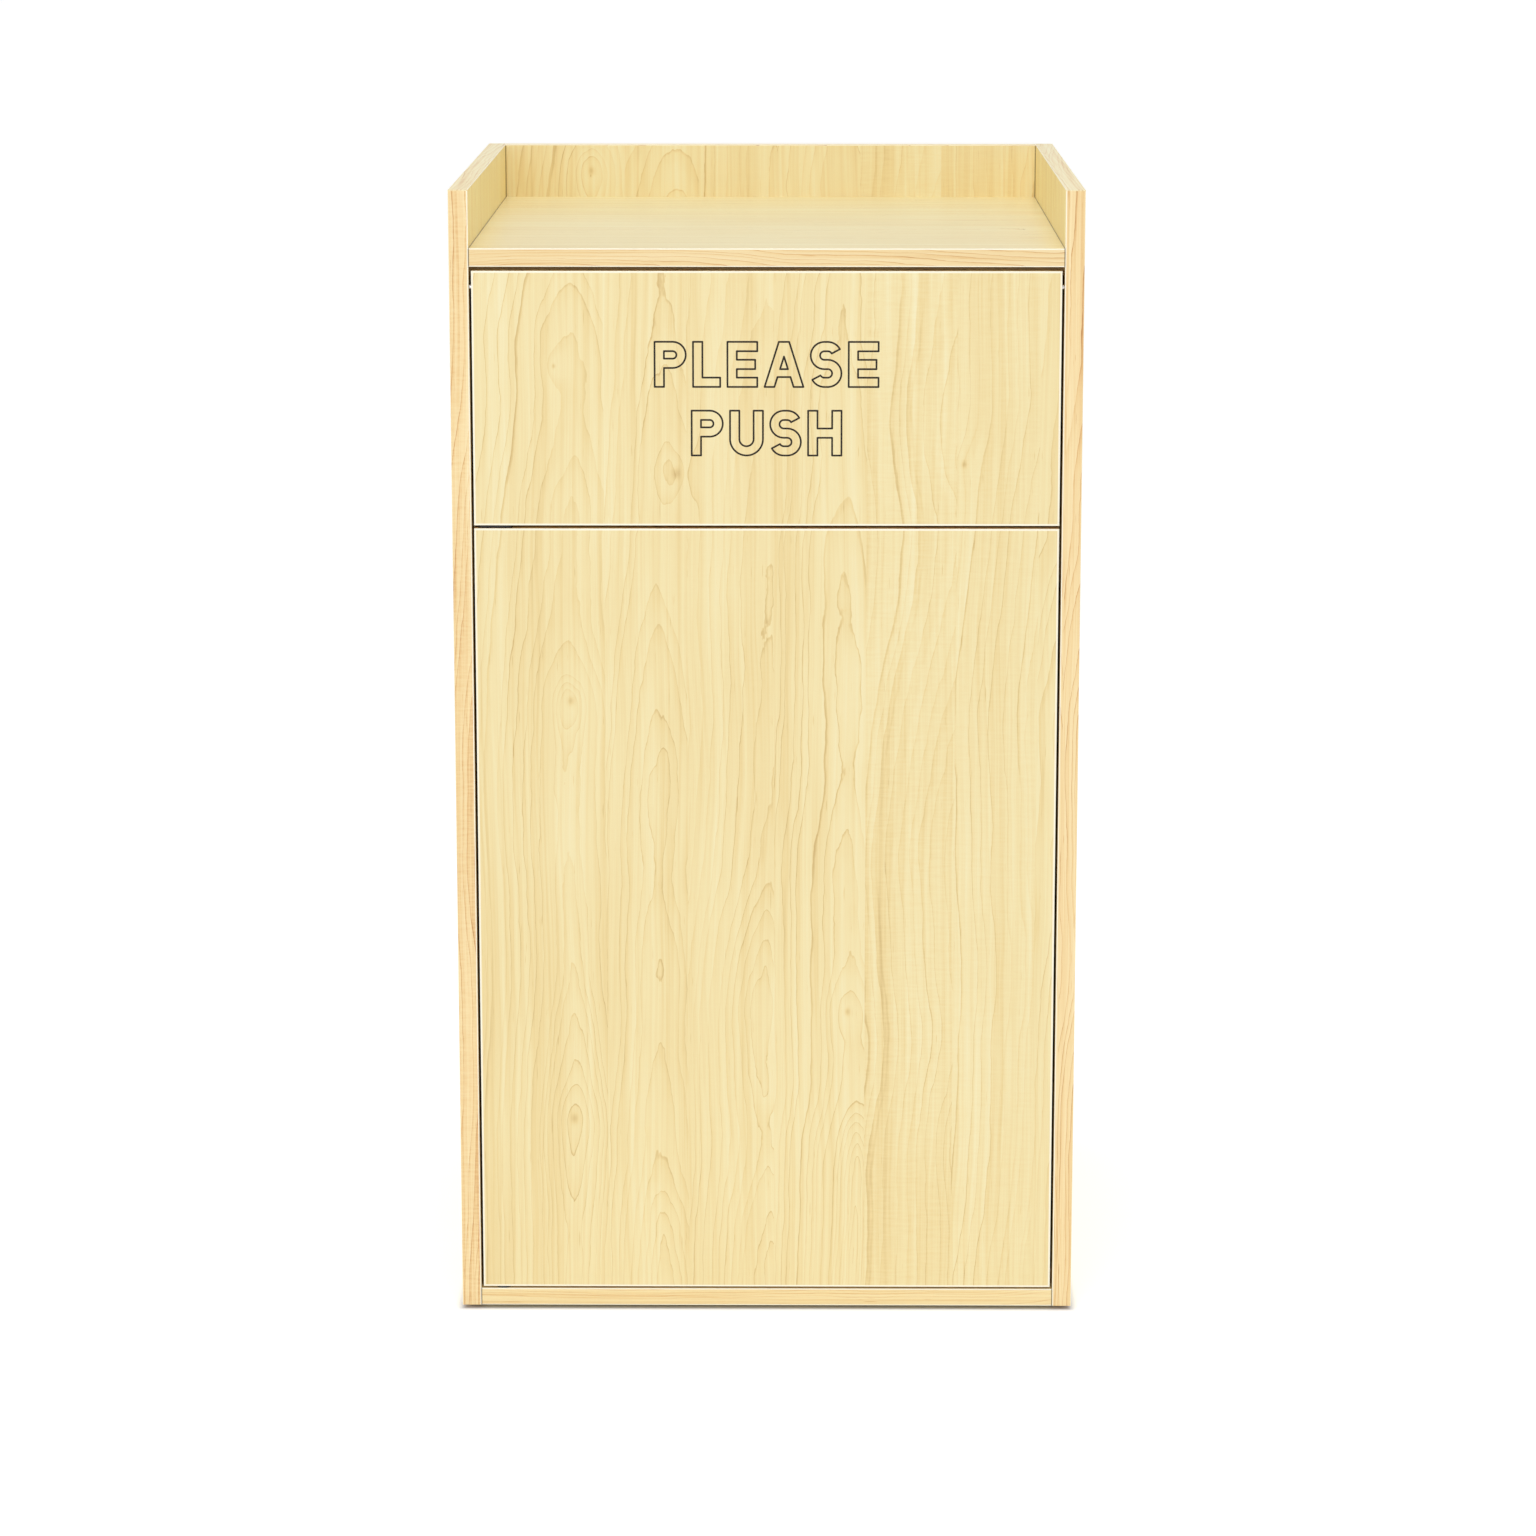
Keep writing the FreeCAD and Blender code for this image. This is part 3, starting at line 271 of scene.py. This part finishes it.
# One repeat of the print, as staves that lie side by side: (left edge, heart line, depth of the
# heart under the face, share of cross figure), from the middle of the print, in metres.
PRINT_WIDTH = 0.62
STAVES = [
    (-0.310, -0.192, 0.012, 0.10),
    (-0.158, -0.101, 0.020, 0.15),
    (-0.078, 0.004, 0.016, 0.20),
    (0.005, 0.080, 0.010, 0.10),
    (0.096, 0.210, 0.034, 0.90),
    (0.182, 0.330, 0.030, 0.60),
    (0.262, 0.300, 0.018, 0.20),
]
DEPTH_UNIT = 0.1  # a heart's depth is kept in a colour, in this unit
RING = 0.0034  # width of a growth ring at the heart, in metres
RING_GROWTH = 0.055  # how much wider a ring is for each unit further out
CUT_SLOPE = 0.060  # how much deeper the face cuts the rings for each unit along the grain
TIP_POWER = 1.6  # a power below 2 draws the rings' cathedrals with pointed tips
KNOT_STRETCH = 0.72  # a knot's width over its length
KNOT_CORE = 0.16  # a knot's eye over its whole spread


def stave_at(t, across, seed):
    """A place's distance from its stave's heart, and the heart's depth, the curl and a seed."""
    share = t.math("FRACT", t.math("MULTIPLY_ADD", across, 1 / PRINT_WIDTH, 0.5))
    stops = [
        (left / PRINT_WIDTH + 0.5, (heart / PRINT_WIDTH + 0.5, below / DEPTH_UNIT, curl, 1.0))
        for left, heart, below, curl in STAVES
    ]
    colour = t.ramp(share, stops, "CONSTANT")
    heart, below, curl = t.add("ShaderNodeSeparateColor", {"Color": colour}).outputs
    from_heart = t.math("MULTIPLY", t.math("SUBTRACT", share, heart), PRINT_WIDTH)
    own_seed = t.math("MULTIPLY_ADD", heart, 97.0, seed)
    return from_heart, t.math("MULTIPLY", below, DEPTH_UNIT), curl, own_seed


def knot_swells(t, across, along, knots):
    """For each knot of (across, along, spread, rings): its rings' swelling, and its dark eye."""
    for place_across, place_along, spread, rings in knots:
        away = t.math("SUBTRACT", across, place_across)
        beyond = t.math("MULTIPLY", t.math("SUBTRACT", along, place_along), KNOT_STRETCH)
        off = t.math("ADD", t.math("MULTIPLY", away, away), t.math("MULTIPLY", beyond, beyond))
        swell = t.math("EXPONENT", t.math("MULTIPLY", off, -1 / spread ** 2))
        core = t.math("EXPONENT", t.math("MULTIPLY", off, -1 / (KNOT_CORE * spread) ** 2))
        yield swell, rings, core


def maple_group(name, knots, seed):
    """A group that turns a place on the print into its tone and the height of its fibres and rings."""
    tree = bpy.data.node_groups.new(name, "ShaderNodeTree")
    for socket in ("Across", "Along", "Depth"):
        tree.interface.new_socket(socket, in_out="INPUT", socket_type="NodeSocketFloat")
    for socket in ("Tone", "Height"):
        tree.interface.new_socket(socket, in_out="OUTPUT", socket_type="NodeSocketFloat")
    t = Tree(tree)
    place = t.add("NodeGroupInput").outputs[:3]
    across, along, depth = place
    from_heart, below, curl, stave_seed = stave_at(t, across, seed)

    # The face cuts the rings deeper and deeper along the grain, with a wander, which draws the
    # cathedrals with most of their tips up.
    wander = t.centred(t.grain(place, 1.5, 4.0, stave_seed, detail=1.0))
    drift = t.centred(t.grain(place, 2.5, 2.4, stave_seed, detail=1.0))
    sway = t.centred(t.grain(place, 14, 4.0, stave_seed, detail=2.0))
    ragged = t.centred(t.grain(place, 75, 24, stave_seed, detail=3.0))
    cut = t.math("MULTIPLY_ADD", along, CUT_SLOPE, t.math("MULTIPLY_ADD", wander, 0.052, below))
    aside = t.math("MULTIPLY_ADD", drift, 0.045, from_heart)
    reach = t.math("ADD", t.math("POWER", t.math("ABSOLUTE", aside), TIP_POWER),
                   t.math("POWER", t.math("ABSOLUTE", cut), TIP_POWER))
    radius = t.math("POWER", reach, 1 / TIP_POWER)
    radius = t.math("MULTIPLY_ADD", sway, 0.013, radius)
    radius = t.math("MULTIPLY_ADD", ragged, 0.0046, radius)
    eye = 0.0
    for swell, rings, core in knot_swells(t, across, along, knots):
        radius = t.math("MULTIPLY_ADD", swell, -rings * RING, radius)
        eye = t.math("MAXIMUM", core, eye)

    # Rings widen away from the heart and differ in width, and their dark outer edges fade in and out.
    wider = t.math("LOGARITHM", t.math("MULTIPLY_ADD", radius, RING_GROWTH / RING, 1.0), math.e)
    uneven = t.noise(t.vector(t.math("MULTIPLY", radius, 70), stave_seed))
    ring = t.math("FRACT", t.math("MULTIPLY_ADD", uneven, 3.0, t.math("DIVIDE", wider, RING_GROWTH)))
    late_wood = t.math("POWER", ring, 2.2)
    line = t.math("MULTIPLY", t.window(ring, 0.91, 0.98), t.window(ring, 1.0, 0.98))
    presence = t.window(t.grain(place, 22, 2.5, stave_seed, detail=2.0), 0.36, 0.66)

    # Streaks and bands follow the rings' sway. The ripple runs across them where the stave is curly.
    flow = t.math("MULTIPLY_ADD", drift, 0.02, t.math("MULTIPLY_ADD", sway, 0.014, across))
    flowing = (flow, along, depth)
    fibre = t.grain(place, 900, 11, seed, detail=3.0, roughness=0.6)
    hair = t.window(t.grain(place, 640, 34, stave_seed, detail=1.0), 0.72, 0.80)
    streak = t.grain(flowing, 210, 1.6, stave_seed, detail=3.0, roughness=0.6)
    band = t.grain(flowing, 34, 0.8, stave_seed, detail=2.0)
    ripple = t.grain((along, across, depth), 420, 45, stave_seed, detail=2.0)
    blotch = t.grain(place, 9, 5, seed + 3.0, detail=1.0)

    tone = 0.60
    for layer, amount in (
            (late_wood, -0.12), (t.math("MULTIPLY", line, presence), -0.34),
            (t.centred(fibre), 0.17), (t.centred(streak), 0.52), (t.centred(band), 0.32),
            (t.centred(blotch), 0.14), (hair, -0.20),
            (t.math("MULTIPLY", t.centred(ripple), curl), 0.20), (eye, -0.30)):
        tone = t.math("MULTIPLY_ADD", layer, amount, tone)
    height = t.math("ADD", t.math("MULTIPLY", fibre, 0.6), t.math("MULTIPLY", line, -0.4))
    t.add("NodeGroupOutput", {"Tone": tone, "Height": height})
    return tree


def maple_at(t, group, across, along, depth):
    """A maple group's tone and height at a place in a material."""
    inputs = {"Across": across, "Along": along, "Depth": depth}
    node = t.add("ShaderNodeGroup", inputs, node_tree=group)
    return node.outputs["Tone"], node.outputs["Height"]


MAPLE_TONES = [
    (0.00, linear(190, 150, 88)), (0.26, linear(218, 190, 130)), (0.46, linear(234, 210, 151)),
    (0.62, linear(239, 221, 168)), (0.80, linear(242, 230, 186)), (1.00, linear(246, 239, 208)),
]
CHIP_TONES = [
    (0.0, linear(150, 112, 70)), (0.35, linear(190, 152, 104)), (0.75, linear(212, 180, 132)),
    (1.0, linear(228, 202, 158)),
]
# The routed lettering's dark browns: partly the scorched core, partly painted shade for the narrow
# groove's depth.
BURNT_SHADE_TONES = [(0.3, linear(18, 12, 5)), (0.55, linear(38, 27, 13)), (0.75, linear(84, 64, 36))]
# The pale cream of the painted highlights along edges.
HIGHLIGHT_CREAM = linear(255, 251, 232)
SEAM = linear(70, 52, 28)


def chipboard(t, place):
    """Pressed flakes of several browns."""
    flake = t.add("ShaderNodeTexVoronoi", {"Vector": place, "Scale": 620.0, "Randomness": 1.0})
    tint = t.add("ShaderNodeSeparateColor", {"Color": flake.outputs["Color"]}).outputs[0]
    return t.ramp(tint, CHIP_TONES)


def add_seam(t, colour, axis, edge, strength):
    """Darkens the last millimetre before a joint at +-edge."""
    near = t.window(t.math("ABSOLUTE", axis), edge - 0.0012, edge - 0.0006)
    return t.mix(t.math("MULTIPLY", near, strength), colour, SEAM)


def highlight_share(t, axes, node):
    """1 in the last millimetre of a board's face, where a pale painted highlight goes along its edges.
    """
    share = 0.0
    for axis in (X, Z):
        for corner, inward in zip(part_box(node), (1, -1)):
            far, near = corner[axis] + 0.0011 * inward, corner[axis] + 0.0006 * inward
            share = t.math("MAXIMUM", t.window(axes[axis], far, near), share)
    return share


def board_material(name, group, face_axis, across_axis, along_axis, tint=(1, 1, 1), groove=None,
                   seam=None, matt=0.36, gloss=0.40, highlight_node=None):
    """Laminate on the faces along face_axis, and chipboard on every other face and in the holes.

    groove is the depth of the routed lettering, seam is how far from the middle the joints at its
    two ends are, and the last argument names the node whose face gets a pale painted highlight at its
    edges.
    """
    material, t, shader = new_material(name)
    coordinates = t.add("ShaderNodeTexCoord").outputs
    place, normal = coordinates["Object"], t.split(coordinates["Normal"])
    axes = t.split(place)
    tone, height = maple_at(t, group, axes[across_axis], axes[along_axis], axes[face_axis])
    laminate = t.tinted(t.ramp(tone, MAPLE_TONES), tint)
    # A pale painted highlight along the edges of the face.
    if highlight_node is not None:
        laminate = t.mix(t.math("MULTIPLY", highlight_share(t, axes, highlight_node), 0.8), laminate, HIGHLIGHT_CREAM)
    on_face = t.window(t.math("ABSOLUTE", normal[face_axis]), 0.80, 0.90)
    colour = t.mix(on_face, chipboard(t, place), laminate)
    if groove is not None:
        below_face = t.window(axes[face_axis], FRONT + 0.0001, FRONT + 0.0004)
        above_floor = t.window(axes[face_axis], FRONT + groove + 0.001, FRONT + groove + 0.0005)
        # The groove's dark colour is partly scorch and partly painted shade in the narrow groove.
        burnt_shade = t.ramp(t.noise(place, 900.0), BURNT_SHADE_TONES)
        colour = t.mix(t.math("MULTIPLY", below_face, above_floor), colour, burnt_shade)
    if seam is not None:
        colour = add_seam(t, colour, axes[X], seam, 0.8)
    rough = t.math("MULTIPLY_ADD", height, 0.10, matt)
    rough = t.math("MULTIPLY_ADD", t.math("SUBTRACT", 1.0, on_face), 0.4, rough)
    smudged = t.math("MULTIPLY_ADD", t.noise(place, 14.0, 4.0, 0.6), 0.10, rough)
    join(t, shader, {
        "Base Color": colour, "Roughness": smudged, "Normal": t.bump(height, 0.10, 0.0002),
        "Specular IOR Level": gloss,
    })
    return material


FRONT_KNOTS = [
    (-0.191, 0.621, 0.020, 3.0), (-0.191, 0.198, 0.024, 2.0), (0.080, 0.308, 0.018, 2.5),
    (0.191, 0.854, 0.016, 2.0), (-0.087, 0.845, 0.026, 4.0), (-0.205, 0.949, 0.010, 2.0),
]
BACK_KNOTS = [(-0.193, 1.090, 0.022, 4.0), (0.12, 0.52, 0.02, 3.0)]
SIDE_KNOTS = [(0.11, 0.74, 0.022, 3.0), (-0.17, 0.35, 0.018, 2.5)]
FRONT_TINT = (1.0, 1.015, 1.035)
LETTER_DEPTH = 0.0012
front_maple = maple_group("maple_front", FRONT_KNOTS, 1.7)
back_maple = maple_group("maple_back", BACK_KNOTS, 5.1)
side_maple = maple_group("maple_side", SIDE_KNOTS, 9.4)
tray_maple = maple_group("maple_tray", [], 13.9)

paint(board_material("door_laminate", front_maple, Y, X, Z, FRONT_TINT, highlight_node="door_panel"),
      "door_panel")
paint(board_material("flap_laminate", front_maple, Y, X, Z, FRONT_TINT, highlight_node="flap_panel",
                     groove=LETTER_DEPTH), "flap_panel")
# The side panels' paler tint is painted light: it makes up for the shade in the rim's recess, and it
# lightens their outer faces too.
paint(board_material("side_laminate", side_maple, X, Y, Z, (1.12, 1.13, 1.01)),
      "left_side_panel", "right_side_panel")
# The back panel's paler, cooler tint is painted light that makes up for the shade in the rim's recess.
paint(board_material("back_laminate", back_maple, Y, X, Z, (1.06, 1.10, 1.18), seam=INSIDE),
      "back_panel")
# The tray's cooler tint is a painted sheen: the white backdrop's reflection at a grazing view.
paint(board_material("tray_laminate", tray_maple, Z, Y, X, (0.97, 1.02, 1.09), seam=INSIDE,
                     matt=0.24, gloss=0.6), "tray_top")
paint(board_material("carcass_laminate", tray_maple, Z, Y, X), "bottom_panel")
paint(board_material("rail_laminate", tray_maple, Y, Z, X), "cross_rail")


# --- edge bands ----------------------------------------------------------------------------------

BAND_TONES = [
    (0.00, linear(188, 128, 72)), (0.30, linear(222, 176, 116)), (0.50, linear(238, 206, 148)),
    (0.68, linear(244, 219, 166)), (1.00, linear(250, 233, 190)),
]
# A paler, cooler tint on the rim's top bands: a painted sheen, the white surroundings' reflection at a
# grazing angle.
TOP_SHEEN_TINT = (1.0, 1.13, 1.30)
band_maple = maple_group("maple_band", [], 21.3)


def band_material(name, across_axis, along_axis, face_axis, cream_ends=False, lines=(), seam=None,
                  tint=(1, 1, 1), gloss=0.45):
    """A strip printed with a warmer grain along its length, with a pale painted highlight where its
    edges are rounded.

    Its front edge can be given a pale painted highlight, it takes thin pale painted highlights along
    the given (axis, place) lines, and seam is how far from the middle the joints at its two ends are.
    """
    material, t, shader = new_material(name)
    coordinates = t.add("ShaderNodeTexCoord").outputs
    axes, normal = t.split(coordinates["Object"]), t.split(coordinates["Normal"])
    finer = t.math("MULTIPLY", axes[across_axis], 1.6)
    tone, height = maple_at(t, band_maple, finer, axes[along_axis], axes[face_axis])
    stronger = t.math("MULTIPLY_ADD", tone, 1.7, -0.38)
    colour = t.tinted(t.ramp(stronger, BAND_TONES), tint)
    steepest = 0.0
    for axis in (X, Y, Z):
        steepest = t.math("MAXIMUM", t.math("ABSOLUTE", normal[axis]), steepest)
    # Painted highlights: pale where the edges are rounded, at the front edge if asked, and along the
    # given lines.
    painted_highlight = t.window(steepest, 0.995, 0.93)
    if cream_ends:
        painted_highlight = t.math("MAXIMUM", painted_highlight, t.window(axes[Y], FRONT + 0.0009, FRONT + 0.0007))
    for axis, line in lines:
        off = t.math("ABSOLUTE", t.math("SUBTRACT", axes[axis], line))
        painted_highlight = t.math("MAXIMUM", painted_highlight, t.window(off, 0.0012, 0.0008))
    colour = t.mix(t.math("MULTIPLY", painted_highlight, 0.9), colour, HIGHLIGHT_CREAM)
    if seam is not None:
        colour = add_seam(t, colour, axes[X], seam, 0.75)
    join(t, shader, {
        "Base Color": colour, "Roughness": t.math("MULTIPLY_ADD", height, 0.12, 0.34),
        "Normal": t.bump(height, 0.12, 0.0002), "Specular IOR Level": gloss,
    })
    return material


def level_lines(node):
    """The places of the painted highlight lines along a level band's lower and upper edges."""
    return [(Z, corner.z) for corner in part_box(node)]


paint(band_material("band_upright", X, Z, Y, lines=[(X, -INSIDE), (X, INSIDE)]),
      "left_front_band", "right_front_band")
# The bands' tints are painted shade and light: the tray's band is darker and the bottom's band paler
# than the same print, to match how the light falls on each.
for name, node, tint in (("band_tray", "tray_front_band", (0.95, 0.93, 0.90)),
                         ("band_bottom", "bottom_front_band", (1.0, 1.04, 1.04))):
    paint(band_material(name, Z, X, Y, lines=level_lines(node), seam=INSIDE, tint=tint), node)
paint(band_material("band_side_top", X, Y, Z, tint=TOP_SHEEN_TINT, gloss=0.7),
      "left_top_band", "right_top_band")
paint(band_material("band_back_top", Y, X, Z, tint=TOP_SHEEN_TINT, gloss=0.7), "back_top_band")
paint(band_material("band_leaf", Y, Z, X, cream_ends=True), "flap_edge_bands", "door_edge_bands")


# --- fittings ------------------------------------------------------------------------------------

def plain_material(name, light, dark, rough, scale, metal=0.0, bump=0.15, stretch=(1, 1, 1)):
    """Two sRGB tones of one colour in fine noise, with roughness and bump from the same noise."""
    material, t, shader = new_material(name)
    place = t.add("ShaderNodeTexCoord").outputs["Object"]
    scaled = t.add("ShaderNodeMapping", {"Vector": place, "Scale": stretch}).outputs[0]
    fine = t.noise(scaled, scale, 4.0, 0.6)
    coarse = t.noise(place, scale / 12, 3.0, 0.6)
    tone = t.math("ADD", t.math("MULTIPLY", fine, 0.6), t.math("MULTIPLY", coarse, 0.4))
    join(t, shader, {
        "Base Color": t.ramp(tone, [(0.3, linear(*dark)), (0.7, linear(*light))]),
        "Roughness": t.math("MULTIPLY_ADD", tone, 0.24, rough - 0.12),
        "Normal": t.bump(fine, bump, 0.0003),
        "Metallic": metal,
    })
    return material


RAW_WOOD = {"light": (226, 196, 146), "dark": (196, 160, 108), "rough": 0.6, "scale": 300, "bump": 0.2}
FITTINGS = {
    "zinc_steel": (
        {"light": (206, 208, 210), "dark": (168, 171, 175), "rough": 0.34, "scale": 700, "metal": 1.0,
         "bump": 0.08},
        ["cam_bolts", "stop_strip_screws", "pivot_plate_screws", "catch_screws", "stop_block_screw",
         "guide_screws", "strike_screws", "strike_plate"]),
    "black_steel": (
        {"light": (58, 58, 60), "dark": (36, 36, 38), "rough": 0.45, "scale": 600, "metal": 0.6},
        ["door_pivot_plate", "door_bottom_pin", "door_top_pin"]),
    "pin_steel": (
        {"light": (232, 232, 232), "dark": (205, 206, 208), "rough": 0.22, "scale": 900, "metal": 1.0,
         "bump": 0.05, "stretch": (0.1, 1, 1)},
        ["flap_pivot_pins"]),
    "cast_zinc": (
        {"light": (168, 168, 170), "dark": (128, 128, 131), "rough": 0.5, "scale": 500, "metal": 0.9,
         "bump": 0.25},
        ["cam_discs"]),
    "bush_nylon": (
        {"light": (240, 239, 233), "dark": (226, 224, 214), "rough": 0.45, "scale": 400},
        ["flap_pivot_bushes"]),
    "black_nylon": (
        {"light": (44, 44, 46), "dark": (30, 30, 32), "rough": 0.5, "scale": 500},
        ["door_pivot_bushes", "door_washer"]),
    "beech": (
        {"light": (214, 172, 122), "dark": (184, 138, 90), "rough": 0.6, "scale": 420, "bump": 0.2,
         "stretch": (0.08, 1, 1)},
        ["dowels"]),
    "bare_wood": (
        {**RAW_WOOD, "stretch": (0.06, 1, 1)}, ["flap_stop_strip", "rear_bin_stop", "door_stop_block"]),
    "bare_wood_deep": (
        {**RAW_WOOD, "stretch": (1, 0.06, 1)}, ["left_bin_guide", "right_bin_guide"]),
    "glide_nylon": (
        {"light": (122, 92, 66), "dark": (96, 70, 48), "rough": 0.5, "scale": 350}, ["glides"]),
    "felt": (
        {"light": (124, 100, 76), "dark": (84, 66, 48), "rough": 0.95, "scale": 1500, "bump": 0.8},
        ["flap_stop_felts"]),
    "catch_plastic": (
        {"light": (234, 233, 226), "dark": (220, 218, 208), "rough": 0.42, "scale": 450},
        ["catch_body"]),
    "magnet": (
        {"light": (52, 52, 55), "dark": (34, 34, 37), "rough": 0.55, "scale": 700, "bump": 0.3},
        ["catch_magnet"]),
}
for name, (look, nodes) in FITTINGS.items():
    paint(plain_material(name, **look), *nodes)


# --- the bin, with its rolled rim, moulded step and softened hand holes ---------------------------

BIN_RIM = 0.012  # stand-out of the rim from the tub
BIN_TAPER = 0.026  # the tub's half width at the top, less that at the base
BIN_CORNER = 0.042  # radius of the tub's corners at the top
LEAST_CORNER = 0.008
BIN_WALL = 0.0032
CORNER_STEPS = 5
HOLE_HALF, HOLE_DROP, HOLE_HEIGHT = 0.055, 0.040, 0.032
SIDE_MARKS = [-0.125, -HOLE_HALF, -HOLE_HALF / 3, HOLE_HALF / 3, HOLE_HALF, 0.125]
HOLE_MARK = 1 + SIDE_MARKS.index(-HOLE_HALF)  # the hole's first column on a side
HOLE_COLUMNS = 3
HOLE_SIDES = (0, 2)  # the sides at +X and -X


def ring_points(half, corner):
    """A rounded square's points, anticlockwise from its +X side's end at -Y."""
    flat = half - corner
    side = [(half, mark) for mark in (-flat, *SIDE_MARKS, flat)]
    for step in range(1, CORNER_STEPS):
        angle = math.pi / 2 * step / CORNER_STEPS
        side.append((flat + corner * math.cos(angle), flat + corner * math.sin(angle)))
    points = []
    for turn in range(4):
        cosine, sine = round(math.cos(turn * math.pi / 2)), round(math.sin(turn * math.pi / 2))
        points += [(x * cosine - y * sine, x * sine + y * cosine) for x, y in side]
    return points


def bin_rows(foot, top, rim):
    """The wall's section in (height, half width) rows: up its outside, over its rim and down inside.

    The last two values are the outside's rows at the foot and at the top of the hand holes.
    """
    tub = rim - BIN_RIM
    base = tub - BIN_TAPER
    hole_top = top - HOLE_DROP
    hole_foot = hole_top - HOLE_HEIGHT

    def tub_half(z):
        return base + (tub - base) * (z - foot) / (top - foot)

    levels = [foot + 0.012, foot + 0.10, foot + 0.30, foot + 0.50, hole_foot - 0.030, hole_foot,
              hole_foot + 0.012, hole_top - 0.012, hole_top, hole_top + 0.010]
    foot_rows = [(foot, base - 0.030), (foot, base - 0.004), (foot + 0.004, base)]
    outside = foot_rows + [(z, tub_half(z)) for z in levels]
    step = top - 0.022
    rolled = [
        (step, tub_half(step)), (step + 0.002, tub_half(step) + 0.0012), (top - 0.013, tub + 0.0005),
        (top - 0.0145, rim - 0.003), (top - 0.012, rim), (top - 0.003, rim), (top, rim - 0.003),
        (top, tub + 0.001), (top - 0.004, tub - BIN_WALL),
    ]
    inside = [(z, tub_half(z) - BIN_WALL) for z in reversed(levels)]
    inside += [(foot + 0.006, base - BIN_WALL - 0.002), (foot + BIN_WALL, base - BIN_WALL - 0.008),
               (foot + BIN_WALL, base - 0.034)]
    first_hole = len(foot_rows) + levels.index(hole_foot)
    last_hole = len(foot_rows) + levels.index(hole_top)
    return outside, rolled, inside, first_hole, last_hole


def hole_rim(first_row, last_row, first_column):
    """The (row, column) points round a hand hole on the outside."""
    columns = range(first_column, first_column + HOLE_COLUMNS + 1)
    return ([(first_row, c) for c in columns]
            + [(r, columns[-1]) for r in range(first_row + 1, last_row + 1)]
            + [(last_row, c) for c in reversed(columns[:-1])]
            + [(r, columns[0]) for r in range(last_row - 1, first_row, -1)])


def bin_mesh():
    """The wall as loops of points joined up row by row, with a lined hand hole in two sides."""
    low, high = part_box("collection_bin")
    middle = (low + high) / 2
    outside, rolled, inside, first_hole, last_hole = bin_rows(low.z, high.z, high.x)
    rows = outside + rolled + inside
    mesh = bmesh.new()
    loops = []
    for z, half in rows:
        corner = max(BIN_CORNER + half - (high.x - BIN_RIM), LEAST_CORNER)
        points = ring_points(half, corner)
        loops.append([mesh.verts.new((middle.x + x, middle.y + y, z)) for x, y in points])
    count = len(loops[0])
    hole_starts = [turn * count // 4 + HOLE_MARK for turn in HOLE_SIDES]
    open_columns = {start + n for start in hole_starts for n in range(HOLE_COLUMNS)}

    def inner(row):
        """The inside row at the same height as an outside row."""
        return 2 * len(outside) + len(rolled) - 1 - row

    open_rows = {*range(first_hole, last_hole), *(inner(r + 1) for r in range(first_hole, last_hole))}
    for row in range(len(rows) - 1):
        for column in range(count):
            beyond = (column + 1) % count
            if row not in open_rows or column not in open_columns:
                mesh.faces.new((loops[row][column], loops[row][beyond],
                                loops[row + 1][beyond], loops[row + 1][column]))
    mesh.faces.new(list(reversed(loops[0])))
    mesh.faces.new(loops[-1])
    for start in hole_starts:
        points = hole_rim(first_hole, last_hole, start)
        for (row, column), (row_2, column_2) in zip(points, points[1:] + points[:1]):
            mesh.faces.new((loops[row_2][column_2], loops[row][column],
                            loops[inner(row)][column], loops[inner(row_2)][column_2]))
    bmesh.ops.recalc_face_normals(mesh, faces=mesh.faces)
    for face in mesh.faces:
        face.smooth = True
    data = bpy.data.meshes.new("moulded_bin")
    mesh.to_mesh(data)
    mesh.free()
    return data


def make_bin():
    """The moulded bin in the place of the CAD's plain one."""
    piece = bpy.data.objects.new("moulded_bin", bin_mesh())
    scene.collection.objects.link(piece)
    smoothing = piece.modifiers.new("smoothing", "SUBSURF")
    smoothing.levels = smoothing.render_levels = 2
    piece.data.materials.append(
        plain_material("bin_plastic", (92, 95, 99), (78, 81, 85), 0.5, 1100, bump=0.35))
    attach(piece, "bin")
    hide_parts("collection_bin")


make_bin()
